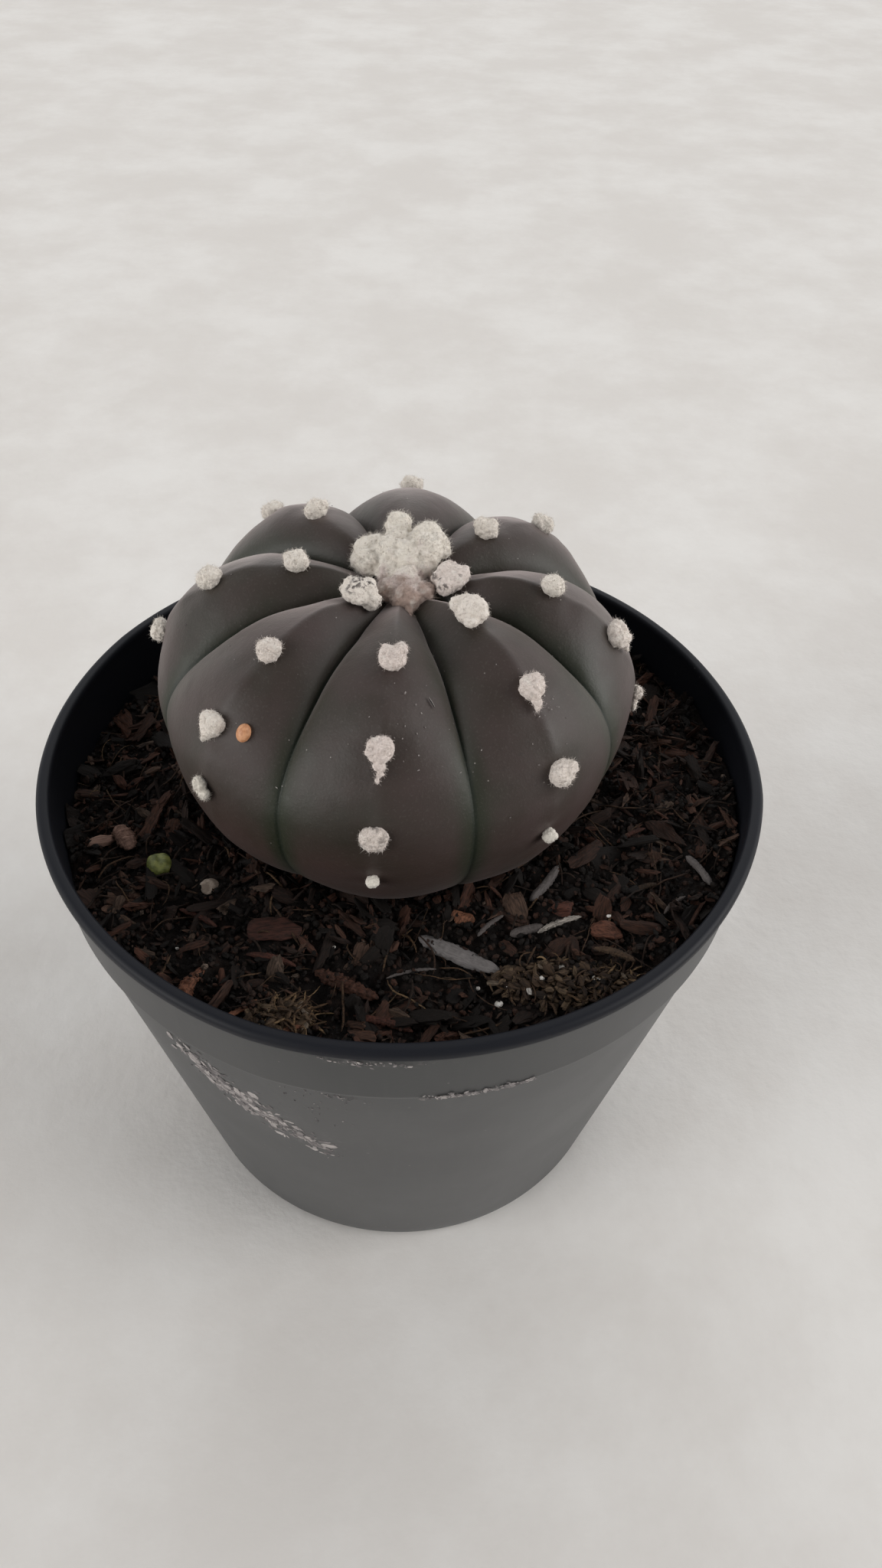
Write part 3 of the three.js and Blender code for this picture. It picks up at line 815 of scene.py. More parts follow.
# ---- Stem ----
def crest_table():
    """A crest's line in the plane through the stem's axis, as (distance, r, z) from the growing point down."""
    t = np.linspace(0, 1, 240)[:, None]
    a, b = np.array([0, CROWN_Z]), np.array([CROWN_RADIUS / 2, CROWN_Z])
    c, d = np.array([CROWN_RADIUS / 2, CREST_Z]), np.array([CROWN_RADIUS, CREST_Z])
    crown = (1 - t) ** 3 * a + 3 * t * (1 - t) ** 2 * b + 3 * t * t * (1 - t) * c + t ** 3 * d
    angle = np.radians(np.linspace(90, 0, 240))
    shoulder = np.stack([
        CROWN_RADIUS + (STEM_RADIUS - CROWN_RADIUS) * np.cos(angle),
        WIDEST_Z + (CREST_Z - WIDEST_Z) * np.sin(angle),
    ], -1)
    underside = np.stack([
        UNDERSIDE_RADIUS + (STEM_RADIUS - UNDERSIDE_RADIUS) * np.cos(angle[::-1]),
        WIDEST_Z - UNDERSIDE_DEPTH * np.sin(angle[::-1]),
    ], -1)
    line = np.concatenate([crown, shoulder[1:], underside[1:]])
    distance = np.concatenate([[0], np.cumsum(np.linalg.norm(np.diff(line, axis=0), axis=1))])
    widest = distance[len(crown) + len(shoulder) - 2]
    return distance, line, widest


CREST_AT, CREST_LINE, WIDEST_DISTANCE = crest_table()
CREST_LENGTH = CREST_AT[-1]
CREST_TANGENT = unit(np.gradient(CREST_LINE, CREST_AT, axis=0))


def rib_angle(rib, turn, distance):
    """A rib's direction at a turn of -1 (the furrow before it), 0 (its crest) or 1 (the furrow after it)."""
    azimuths = np.array([r[1] for r in RIBS], float)
    side = np.sign(turn).astype(int)
    to_next = (azimuths[(rib + side) % len(RIBS)] - azimuths[rib] + 180) % 360 - 180
    crest = np.zeros(rib.shape)
    for number, (_, _, _, tufts) in enumerate(RIBS):
        crest = np.where(rib == number, np.interp(distance, *zip(*tufts)), crest)
    share = np.abs(turn)
    return np.radians(crest * (1 - share) + (azimuths[rib] + to_next / 2) * share)


def on_skin(rib, turn, distance, lift=0.0):
    """Points on the skin, at a turn across a rib and a distance down it, moved out by lift."""
    rib, turn, distance, lift = np.broadcast_arrays(rib, turn, distance, lift)
    rib = rib.astype(int)
    turn, distance = turn.astype(float), distance.astype(float)
    r = np.interp(distance, CREST_AT, CREST_LINE[:, 0])
    z = np.interp(distance, CREST_AT, CREST_LINE[:, 1])
    normal_r = -np.interp(distance, CREST_AT, CREST_TANGENT[:, 1])
    normal_z = np.interp(distance, CREST_AT, CREST_TANGENT[:, 0])
    opening = smoothstep(distance, 0, FURROW_FADE)
    closing = smoothstep(CREST_LENGTH - distance, 0, UNDERSIDE_DEPTH / 2)
    flattening = smoothstep(distance, FLATTENING_START, WIDEST_DISTANCE)
    furrow = (FURROW_DEPTH + (FURROW_FOOT_DEPTH - FURROW_DEPTH) * flattening) * opening * closing
    roundness = np.array([r[2] for r in RIBS])[rib]
    fall = (1 - FURROW_SLIT) * np.abs(turn) ** roundness + FURROW_SLIT * np.abs(turn) ** 14
    out = lift - furrow * fall
    angle = rib_angle(rib, turn, distance)
    lean = CROWN_LEAN * (1 - smoothstep(distance, 0, LEAN_END))
    x = (r + normal_r * out) * np.cos(angle) + STEM_SHIFT[0] + lean
    y = (r + normal_r * out) * np.sin(angle) + STEM_SHIFT[1]
    return np.stack([x, y, z + normal_z * out], -1)


def crest_relief(rib, turn, distance):
    """Small rises and pinches along each crest: a notch under each tuft and a fold between tufts."""
    relief = np.zeros(turn.shape)
    ridge = np.exp(-((np.abs(turn) / 0.09) ** 2))
    broad = np.exp(-((np.abs(turn) / 0.3) ** 2))
    for number, (_, _, _, tufts) in enumerate(RIBS):
        here = rib == number
        for at, _ in tufts:
            seat = np.exp(-(((distance - at) / 2.0) ** 2))
            notch = np.exp(-(((distance - at - 3.4) / 1.8) ** 2))
            relief[here] += (-0.30 * seat * broad - 0.32 * notch * broad)[here]
        first = tufts[0][0]
        fold = smoothstep(distance, first + 4, first + 8) * (1 - smoothstep(distance, 46, 54))
        relief[here] += (0.14 * ridge * fold)[here]
    return relief


def make_stem():
    """The stem's fine skin, from the growing point to under the soil."""
    half, rows = 24, 210
    share = np.linspace(0, 1, half + 1)
    half_turns = 1 - (1 - share) ** 1.45  # columns crowd towards the furrow
    columns = len(RIBS) * 2 * half
    column = np.arange(columns)
    rib = ((column + half) // (2 * half)) % len(RIBS)
    step = (column + half) % (2 * half) - half
    turn = np.sign(step) * half_turns[np.abs(step)]
    distance = CREST_LENGTH * np.linspace(0.004, 0.996, rows)
    rib_grid, distance_grid = np.meshgrid(rib, distance)
    turn_grid = np.broadcast_to(turn, rib_grid.shape)
    rings = on_skin(rib_grid, turn_grid, distance_grid, crest_relief(rib_grid, turn_grid, distance_grid))
    top = on_skin(0, 0, 0)
    bottom = np.array([*STEM_SHIFT, UNDERSIDE_Z])
    points, faces = wrapped(rings[::-1], bottom, top)
    # Grown skin isn't turned on a lathe: it swells and dips a little.
    outward = unit(points - [*STEM_SHIFT, WIDEST_Z - 8])
    swell = 0.28 * roughness_at(points, 15, 2) + 0.05 * roughness_at(points, 3.5, 2, 7)
    points = points + outward * swell[:, None]
    turns = np.append(np.abs(turn_grid[::-1]).ravel(), [1, 0])
    downs = np.append(distance_grid[::-1].ravel(), [CREST_LENGTH, 0])
    return piece("stem", points, faces, skin_look(), "cactus_skin", True, ["cactus"], turn=turns, down=downs)


def make_roots():
    """The turnip-shaped taproot and its side roots, in the soil."""
    heap = Heap()
    rows, columns = 60, 40
    rings = []
    for share in np.linspace(0, 1, rows):
        radius = 0.8 + (ROOT_RADIUS - 0.8) * share ** 0.8 + ROOT_FLARE * share ** 6
        z = UNDERSIDE_Z - ROOT_LENGTH * (1 - share) + (1 if share == 1 else 0)
        rings.append(circle(radius, z, columns) + [*STEM_SHIFT, 0])
    low, high = rings[0].mean(0) - [0, 0, 0.4], rings[-1].mean(0)
    points, faces = wrapped(rings, low, high)
    wrinkles = roughness_at(points * [1, 1, 2.5], 6, 3)
    points[:, :2] += unit(points[:, :2] - STEM_SHIFT) * (0.35 * wrinkles)[:, None]
    heap.add(points, faces, shade=0.5, grain=points)
    for i in range(SIDE_ROOTS):
        angle = 2 * math.pi * (i + 0.3) / SIDE_ROOTS
        start = UNDERSIDE_Z - ROOT_LENGTH * (0.25 + 0.1 * (i % 3))
        share = np.linspace(0, 1, 30)
        path = np.stack([
            SIDE_ROOT_REACH * share * np.cos(angle + 0.35 * share) + STEM_SHIFT[0],
            SIDE_ROOT_REACH * share * np.sin(angle + 0.35 * share) + STEM_SHIFT[1],
            start - SIDE_ROOT_DROP * share ** 1.6,
        ], -1)
        points, faces = tube(path, 2 * SIDE_ROOT_RADIUS, 2 * SIDE_ROOT_RADIUS, 10, i, ragged=0.25)
        heap.add(points, faces, shade=0.4, grain=points)
    look = bark_look("root_bark", (0.20, 0.14, 0.09), (0.32, 0.24, 0.16))
    return heap.make("taproot", look, "bark")


# ---- Wool ----
def strands(random, points, normals, count, length, radius, spread, curl, steps=5):
    """Curled hairs rooted on a surface. Returns one set of points and faces for all of them."""
    pick = random.integers(0, len(points), count)
    root, out = points[pick], normals[pick]
    swirl = unit(random.normal(size=(count, 3)))
    heading = unit(out * (1 - spread[:, None]) + unit(np.cross(out, swirl)) * spread[:, None])
    axis = unit(random.normal(size=(count, 3)))
    bend = curl * random.normal(1, 0.4, count)[:, None] / steps
    place, path, headings = root - out * 0.12, [], []
    for _ in range(steps + 1):
        path.append(place)
        headings.append(heading)
        place = place + heading * (length / steps)[:, None]
        heading = unit(heading + np.cross(axis, heading) * bend)
    side = across(headings[0])
    per = 3 * steps + 1
    out_points = np.empty((count, per, 3))
    for k in range(steps):
        thin = (radius * (1 - 0.75 * k / steps))[:, None]
        u = unit(side - headings[k] * np.sum(side * headings[k], axis=1, keepdims=True))
        v = np.cross(headings[k], u)
        for corner in range(3):
            angle = 2 * math.pi * corner / 3
            out_points[:, 3 * k + corner] = path[k] + (u * math.cos(angle) + v * math.sin(angle)) * thin
    out_points[:, -1] = path[-1]
    shape = [[0, 2, 1]]
    for k in range(steps - 1):
        for corner in range(3):
            a, b = 3 * k + corner, 3 * k + (corner + 1) % 3
            shape.append([a, b, b + 3, a + 3])
    shape += [[3 * steps - 3 + c, 3 * steps - 3 + (c + 1) % 3, per - 1] for c in range(3)]
    faces = [[i + k * per for i in face] for k in range(count) for face in shape]
    return out_points.reshape(-1, 3), faces, pick


def wool(
    name, lobes, frame_of, hairs, seed, material, replaces, tint, stain, voxel,
    fuzz=1.0, melt=4, lumpy=0.24, blush=None,
):
    """A tuft of felted wool: lobes melted together, roughened and covered with curled hairs.
    Each lobe is (side, down, out, radius, flatness) in the tuft's own axes. The wool turns browner from one
    place along its down axis to another, where blush gives them."""
    random = np.random.default_rng(seed)
    origin, side, down, out = frame_of
    basis = np.stack([side, down, out])
    draft = Heap()
    directions, faces = ball(3)
    for s, d, o, radius, flatness in lobes:
        local = directions * [radius, radius, radius * flatness] + [s, d, o]
        draft.add(local @ basis + origin, faces)
    points, faces = modified(
        np.concatenate(draft.points), draft.faces, "REMESH", mode="VOXEL", voxel_size=voxel, adaptivity=0
    )
    points, faces = modified(points, faces, "SMOOTH", factor=0.5, iterations=melt)
    normals = normals_of(points, faces)
    lumps = roughness_at(points, 1.5, 3, seed) * lumpy + roughness_at(points, 0.45, 3, seed + 5) * 0.16
    points = points + normals * lumps[:, None]
    normals = normals_of(points, faces)
    height = (points - origin) @ out
    dirty = stain * smoothstep(roughness_at(points, 1.8, 2, seed + 9), 0.05, 0.4)
    # The wool is darker near the skin: painted shade where it meets the skin, on top of its own dirty patches.
    stains_at = np.clip(dirty + 0.25 * (1 - smoothstep(height, 0.0, 0.8)), 0, 1)
    heap = Heap()
    tints_at = tint + 0.25 * lumps
    if blush:
        along = (points - origin) @ down
        tints_at = tints_at + 1.9 * smoothstep(along + 3.5 * roughness_at(points, 2.0, 3, seed), *blush)
    heap.add(points, faces, tint=tints_at, stain=stains_at)
    above = np.flatnonzero(height > 0.15)
    lying = int(hairs * 0.6)
    for count, low_length, high_length, spread, curl in (
        (lying, 0.5, 1.1, (0.86, 1.0), 2.2),
        (hairs - lying, 0.25, 0.7, (0.2, 0.8), 2.0),
    ):
        length = random.uniform(low_length, high_length, count) * fuzz
        radius = random.uniform(0.018, 0.034, count)
        hair_points, hair_faces, pick = strands(
            random, points[above], normals[above], count, length, radius, random.uniform(*spread, count), curl
        )
        per_hair = len(hair_points) // count
        # Each hair takes the dirty patches and painted shade at its root.
        stains = np.repeat(stains_at[above][pick], per_hair)
        tints = np.repeat(tints_at[above][pick] + random.normal(0, 0.15, count), per_hair)
        heap.add(hair_points, hair_faces, tint=tints, stain=stains * 0.8)
    return heap.make(name, material, "wool", True, replaces)


def skin_place(rib, turn, distance):
    """A place on the skin, and the direction out of it."""
    origin = on_skin(rib, turn, distance)
    return origin, unit(on_skin(rib, turn, distance, 1) - origin)


def tuft_frame(rib, distance):
    """A tuft's place on a crest, with its axes: to the side, down the rib, and out of the skin."""
    origin, out = skin_place(rib, 0, distance)
    down = unit(on_skin(rib, 0, distance + 0.5) - on_skin(rib, 0, distance - 0.5))
    return origin, unit(np.cross(down, out)), down, out


# Lobes of a tuft: (side, down, out, radius, flatness), in mm.
ROUND_TUFT = [
    (0, 0, 0.35, 1.75, 0.85),
    (-0.6, -0.5, 0.9, 1.05, 0.9),
    (0.75, -0.25, 0.85, 1.0, 0.9),
    (0, 0.8, 0.7, 1.0, 0.9),
]
TUFTS = {
    "round": ROUND_TUFT,
    "drip": [*ROUND_TUFT, (0.05, 1.9, 0.4, 0.75, 0.8), (0.15, 2.9, 0.3, 0.5, 0.8), (0.1, 3.8, 0.25, 0.36, 0.8)],
    "tail": [*ROUND_TUFT, (0.3, 1.8, 0.4, 0.7, 0.8), (0.6, 2.6, 0.3, 0.42, 0.8)],
    "cone": [
        (0, -0.6, 0.6, 1.25, 0.9), (-0.2, 0.6, 0.5, 1.75, 0.8),
        (0.9, 1.7, 0.4, 0.8, 0.7), (0.6, -0.9, 0.9, 0.9, 0.9),
    ],
    "fan": [
        (0, -0.8, 0.5, 1.1, 0.8), (-0.8, 0.4, 0.3, 1.0, 0.6),
        (0.7, 0.5, 0.3, 1.0, 0.6), (0, 0.9, 0.3, 1.1, 0.6),
    ],
    "flat": [(0, 0, 0.2, 1.95, 0.6), (0.5, 0.5, 0.4, 1.2, 0.6), (-0.6, 0.2, 0.4, 1.1, 0.6)],
    "clump": [
        (0, 0, 0.5, 1.5, 0.8), (-1.1, -0.4, 0.5, 1.0, 0.85), (1.2, -0.2, 0.6, 1.05, 0.85),
        (0.1, 0.9, 0.4, 1.0, 0.7), (-0.7, 0.9, 0.3, 0.8, 0.7), (0.4, -1.0, 1.0, 0.8, 0.9),
        (-0.4, -0.3, 1.2, 0.8, 0.9), (1.0, 0.8, 0.4, 0.7, 0.7),
    ],
    "bead": [(0, 0, 0.35, 1.0, 0.95), (0.15, -0.2, 0.6, 0.7, 0.9)],
}
# What the tufts in sight look like: shape, tint (0 cream, 1 pinkish), stain and size.
PLAIN_TUFT = ("round", 0.25, 0.05, 1.0)
TUFT_KINDS = {
    "front_1": ("round", 0.75, 0.0, 1.05),
    "front_2": ("drip", 0.8, 0.0, 1.02),
    "front_3": ("flat", 0.6, 0.45, 1.02),
    "front_4": ("bead", 0.0, 0.0, 0.95),
    "front_right_1": ("cone", 0.35, 0.0, 1.3),
    "front_right_2": ("tail", 0.7, 0.0, 1.05),
    "front_right_3": ("round", 0.5, 0.0, 1.1),
    "front_right_4": ("bead", 0.0, 0.0, 1.1),
    "right_1": ("clump", 0.7, 0.9, 1.5),
    "right_2": ("round", 0.2, 0.1, 0.95),
    "right_3": ("tail", 0.5, 0.0, 1.1),
    "right_4": ("fan", 0.4, 0.0, 1.05),
    "left_2": ("round", 0.2, 0.1, 1.05),
    "left_3": ("tail", 0.2, 0.0, 1.0),
    "front_left_1": ("clump", 0.3, 1.0, 1.5),
    "front_left_2": ("round", 0.5, 0.35, 1.0),
    "front_left_3": ("tail", 0.3, 0.15, 1.05),
    "front_left_4": ("fan", 0.0, 0.0, 1.0),
}
# Lobes of the wool at the growing point: (x, y, up) from it, radius and flatness.
CROWN_LOBES = [
    (-0.8, 9.6, 3.8, 2.0, 1.0),
    (-0.8, 8.0, 3.3, 1.9, 1.0),
    (-0.8, 6.4, 2.8, 2.2, 1.0),
    (1.8, 6.0, 2.8, 2.0, 1.0),
    (3.5, 6.8, 3.6, 2.3, 1.0),
    (4.7, 5.4, 3.1, 2.2, 1.0),
    (3.3, 4.2, 3.1, 2.6, 1.0),
    (-5.0, 5.0, 2.1, 2.2, 0.95),
    (-3.6, 5.9, 2.4, 2.0, 0.95),
    (-4.9, 3.4, 1.6, 2.4, 0.95),
    (-1.8, 4.2, 2.3, 2.7, 1.0),
    (0.9, 3.2, 2.2, 2.9, 1.0),
    (-1.6, 1.4, 1.2, 2.0, 0.9),
    (2.6, 1.6, 1.6, 2.1, 0.9),
    (0.8, -1.0, 1.3, 2.4, 0.9),
    (-1.5, -2.6, 0.9, 2.0, 0.9),
    (3.0, -2.8, 0.9, 1.9, 0.9),
    (0.9, -4.2, 0.9, 2.2, 0.9),
    (1.2, -6.5, 0.5, 0.8, 0.8),
    (1.5, -7.8, 0.5, 0.45, 0.8),
]


def make_wool():
    """Every tuft, and the wool at the growing point."""
    material = wool_look()
    for rib, (name, _, _, tufts) in enumerate(RIBS):
        for number, (distance, _) in enumerate(tufts, 1):
            label = f"{name}_{number}"
            shape, tint, stain, size = TUFT_KINDS.get(label, PLAIN_TUFT)
            seed = 10 * rib + number
            jitter = Random(seed)
            lobes = [
                tuple(jitter.gauss(value * size, 0.10) for value in lobe[:3]) + (lobe[3] * size, lobe[4])
                for lobe in TUFTS[shape]
            ]
            hairs = 150 if shape == "bead" else 620
            wool(
                f"wool_{label}", lobes, tuft_frame(rib, distance), hairs, seed, material,
                [f"areole_{label}"], tint, stain, voxel=0.17, fuzz=0.5 if shape == "bead" else 1.0,
            )
    growing_point = on_skin(0, 0, 0)
    lobes = [(x, -y, up, radius, flatness) for x, y, up, radius, flatness in CROWN_LOBES]
    frame_of = (growing_point, np.array([1.0, 0, 0]), np.array([0, -1.0, 0]), np.array([0, 0, 1.0]))
    wool(
        "wool_crown", lobes, frame_of, 5200, 99, material, ["crown_wool"], 0.1, 0.2,
        voxel=0.24, fuzz=1.5, melt=5, lumpy=0.40, blush=(-2.0, 5.5),
    )


# ---- Soil ----
BED_HEAPS = 1.5  # how high the soil's heaps rise, in mm
BED_HEAP_SIZE = 6.5
CHIP_CLEARANCE = 27.5  # how near to the stem's axis each kind of bit lies, in mm
CRUMB_CLEARANCE = 27
FIBRE_CLEARANCE = 29.5
GRAIN_SHIFT = 40  # each bit's grain starts at another place, up to this far off


def bed_top(x, y):
    """The soil's height with its hollows and heaps."""
    place = Vector((x / BED_HEAP_SIZE, y / BED_HEAP_SIZE, 3.0))
    return soil_top(x, y) + BED_HEAPS * noise.fractal(place, 1.0, 2.1, 2)


def stem_floor(x, y):
    """How low the plant reaches over a place on the soil: its underside, and the taproot under that."""
    reach = np.hypot(x - STEM_SHIFT[0], y - STEM_SHIFT[1])
    share = np.clip((reach - UNDERSIDE_RADIUS) / (STEM_RADIUS - 1 - UNDERSIDE_RADIUS), 0, 1)
    underside = WIDEST_Z - UNDERSIDE_DEPTH * np.sqrt(1 - share ** 2)
    return np.where(reach > STEM_RADIUS - 1, 1e3, underside)


def make_soil_bed():
    """The soil's body: rough on top, hollowed under the plant, and filling the pot below."""
    columns, rows = 300, 70
    wall = circle(inner_radius(SOIL_Z) - SOIL_GAP, 0, columns)[:, :2]
    rings = []
    for share in np.linspace(0.03, 1, rows):
        flat = STEM_SHIFT + (wall - STEM_SHIFT) * share ** 0.8
        x, y = flat[:, 0], flat[:, 1]
        z = np.array([bed_top(*place) for place in flat])
        rough = 0.5 * roughness_at(np.stack([x, y, z], -1), 2.0, 3)
        z = np.minimum(z + rough * (share < 0.99), stem_floor(x, y) - SOIL_GAP)
        rings.append(np.stack([x, y, z], -1))
    centre = np.array([*STEM_SHIFT, UNDERSIDE_Z - SOIL_GAP])
    for z in np.linspace(SOIL_Z - 4, FLOOR_Z + SOIL_GAP, 8):
        rings.append(circle(inner_radius(z) - SOIL_GAP, z, columns))
    points, faces = wrapped(rings[::-1], (0, 0, FLOOR_Z + SOIL_GAP), centre)
    return piece("soil_bed", points, faces, soil_look(), "soil_mix", True, ["soil"])


BARK_SHADES = [
    (0.0045, 0.003, 0.0025),
    (0.010, 0.0068, 0.0052),
    (0.025, 0.0135, 0.0098),
    (0.047, 0.022, 0.0145),
    (0.078, 0.033, 0.021),
    (0.085, 0.056, 0.040),
    (0.16, 0.12, 0.095),
]
COIR_SHADES = [
    (0.012, 0.008, 0.006),
    (0.045, 0.024, 0.015),
    (0.105, 0.062, 0.032),
    (0.29, 0.19, 0.10),
]
CRUST_SHADES = [
    (0.012, 0.008, 0.006),
    (0.036, 0.022, 0.014),
    (0.070, 0.043, 0.026),
    (0.125, 0.085, 0.052),
    (0.50, 0.47, 0.43),
]
LITTER = (
    "bark_flat", "bark_left", "bark_right", "bark_far_right", "bark_orange", "bark_clump", "fibre_clump",
    "tan_granule", "seedling", "wood_strip", "bark_curved", "bark_long", "twig_right", "twig_pale",
    "twig_far_right",
)
LITTER_BOXES = [box_mm(node) for node in LITTER]


def under_litter(x, y, margin):
    """Whether a place on the soil is under one of the single pieces, or beside it."""
    return any(
        low[0] - margin < x < high[0] + margin and low[1] - margin < y < high[1] + margin
        for low, high in LITTER_BOXES
    )


def free_place(random, inner, outer):
    """A place on the soil between the stem's foot and the pot's wall."""
    while True:
        angle = random.uniform(0, 2 * math.pi)
        radius = math.sqrt(random.uniform(0, 1)) * (inner_radius(SOIL_Z) - outer)
        x, y = radius * math.cos(angle), radius * math.sin(angle)
        if math.hypot(x - STEM_SHIFT[0], y - STEM_SHIFT[1]) > inner:
            return x, y


def kept_inside(points, margin=0.35):
    """Points moved in where they would go through the pot's wall."""
    reach = np.hypot(points[:, 0], points[:, 1])
    limit = inner_radius(points[:, 2]) - margin
    share = np.minimum(1, limit / np.maximum(reach, 1e-6))
    points = points.copy()
    points[:, :2] *= share[:, None]
    return points


# Layers of chips: how many, their least and greatest length, how low and high they lie, and their detail.
CHIP_LAYERS = [
    (2200, 0.9, 2.6, -0.5, 0.8, 2),
    (900, 1.8, 4.6, -0.5, 0.8, 2),
    (540, 2.6, 7.4, -0.1, 1.3, 3),
]


def make_chips(material):
    """Chips of bark lying every way on the soil."""
    random = Random(3)
    for layer, (count, low, high, low_z, high_z, detail) in enumerate(CHIP_LAYERS):
        heap = Heap()
        shapes = []
        for seed in range(32):
            points, faces = shard(seed + 40 * layer, (1.1, 1.1, 1.1), detail, cuts=9, square=0.42, power=5)
            torn = 0.30 * roughness_at(points * [0.7, 1.3, 1], 0.3, 3, seed)
            shapes.append((points * (1 + torn[:, None]), faces))
        for _ in range(count):
            points, faces = random.choice(shapes)
            length = random.uniform(low, high)
            size = np.array([length, length * random.uniform(0.18, 0.55), length * random.uniform(0.09, 0.24)])
            x, y = free_place(random, CHIP_CLEARANCE, 0.8)
            if under_litter(x, y, length * 0.2):
                continue
            tilt = random.gauss(0, 0.38) if random.random() < 0.85 else random.uniform(-1.3, 1.3)
            local = points * size
            placed = turned(local, random.uniform(0, 2 * math.pi), tilt, random.gauss(0, 0.5))
            placed += [x, y, bed_top(x, y) + random.uniform(low_z, high_z)]
            shade = random.random() ** 1.5 * 0.80 + 0.06
            heap.add(kept_inside(placed), faces, shade=shade, grain=local + GRAIN_SHIFT * random.random())
        heap.make(f"bark_chips_{layer + 1}", material, "bark", False)


def make_crumbs(material):
    """Crumbs of peat and grit in between, with a few pale and golden specks."""
    random = Random(8)
    heap = Heap()
    points, faces = ball(1)
    for _ in range(8500):
        size = random.uniform(0.3, 1.15)
        x, y = free_place(random, CRUMB_CLEARANCE, 0.5)
        local = points * [random.uniform(0.6, 1.3) * size / 2 for _ in range(3)]
        placed = turned(local, random.uniform(0, 6.3), random.uniform(0, 6.3))
        placed += [x, y, bed_top(x, y) + random.uniform(-0.3, 0.8)]
        pale = random.random() < 0.008
        shade = random.uniform(0.85, 1.0) if pale else random.random() ** 2 * 0.6
        heap.add(kept_inside(placed), faces, shade=shade, grain=local + GRAIN_SHIFT * random.random())
    heap.make("soil_crumbs", material, "soil_mix", False)


def make_fibres(material):
    """Thin roots and fibres lying over the soil."""
    random = Random(21)
    heap = Heap()
    for number in range(330):
        x, y = free_place(random, FIBRE_CLEARANCE, 1.5)
        length = random.uniform(2.5, 11)
        width = random.uniform(0.10, 0.36)
        steps = max(6, int(length * 1.4))
        heading = random.uniform(0, 2 * math.pi)
        bend = random.gauss(0, 0.9) / steps
        lift = random.uniform(0.1, 0.9)
        path = []
        for k in range(steps):
            path.append((x, y, bed_top(x, y) + 0.7 + lift * math.sin(math.pi * k / (steps - 1))))
            x += math.cos(heading) * length / steps
            y += math.sin(heading) * length / steps
            heading += bend + random.gauss(0, 0.10)
        reach = [math.hypot(px - STEM_SHIFT[0], py - STEM_SHIFT[1]) for px, py, _ in path]
        if min(reach) < FIBRE_CLEARANCE:
            continue
        points, faces = tube(kept_inside(np.array(path), 0.6), width, width * 0.7, 6, number, ragged=0.25)
        shade = random.choice([0.1, 0.2, 0.3, 0.4, 0.5, 0.6, 0.8])
        heap.add(kept_inside(points), faces, shade=shade * random.uniform(0.7, 1), grain=points)
    heap.make("soil_fibres", material, "coir", True)


# ---- Litter: the single pieces that lie on the soil ----
LUMP_ROUGHNESS = 0.3  # in mm
LUMP_POWER = 4


def make_lump(node, seed, material, shade, heading, cuts=14, square=0.6):
    """A chunk in the space of its CAD node."""
    low, high = box_mm(node)
    size = high - low
    c, s = abs(math.cos(math.radians(heading))), abs(math.sin(math.radians(heading)))
    spread = max(c * c - s * s, 0.3)
    length, width = (size[0] * c - size[1] * s) / spread, (size[1] * c - size[0] * s) / spread
    body = np.array([max(length, width), min(length, width), size[2] / 0.7])
    points, faces = shard(seed, body * 1.06, 4, cuts, square, LUMP_POWER)
    grain = points.copy()
    rough = LUMP_ROUGHNESS * roughness_at(points * [0.5, 1.6, 1.6], 1.6, 4, seed)
    points = points + unit(points) * rough[:, None]
    centre = (low + high) / 2
    centre[2] = high[2] - body[2] / 2
    points = turned(points, math.radians(heading)) + centre
    return piece(
        node + "_piece", points, faces, material, "bark", True, [node],
        shade=np.full(len(points), shade), grain=grain + seed,
    )


STICK_ROWS = 56
STICK_RIDGES = 0.16


def make_stick(
    node, path, width, height, material, slot, shade, seed, columns=20, rise=0.15, point=6, ragged=0.22,
):
    """A strip or twig that runs through three places on the soil."""
    a, middle, c = np.array(path, float)
    b = 2 * middle - (a + c) / 2  # the curve goes through the middle point
    t = np.linspace(0, 1, STICK_ROWS)[:, None]
    line = (1 - t) ** 2 * a + 2 * t * (1 - t) * b + t * t * c
    z = soil_top(line[:, 0], line[:, 1]) + height * (0.5 - 0.3) + rise
    path_points = np.column_stack([line, z])
    points, faces = tube(path_points, width, height, columns, seed, ragged, STICK_RIDGES, point)
    length = np.linalg.norm(np.diff(path_points, axis=0), axis=1).sum()
    along = np.append(np.repeat(np.linspace(0, length, STICK_ROWS), columns), [0, length])
    around = points - np.append(np.repeat(path_points, columns, axis=0), path_points[[0, -1]], axis=0)
    grain = np.column_stack([along, np.hypot(around[:, 0], around[:, 1]), around[:, 2]]) + seed
    return piece(
        node + "_piece", points, faces, material, slot, True, [node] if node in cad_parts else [],
        shade=np.full(len(points), shade), grain=grain,
    )


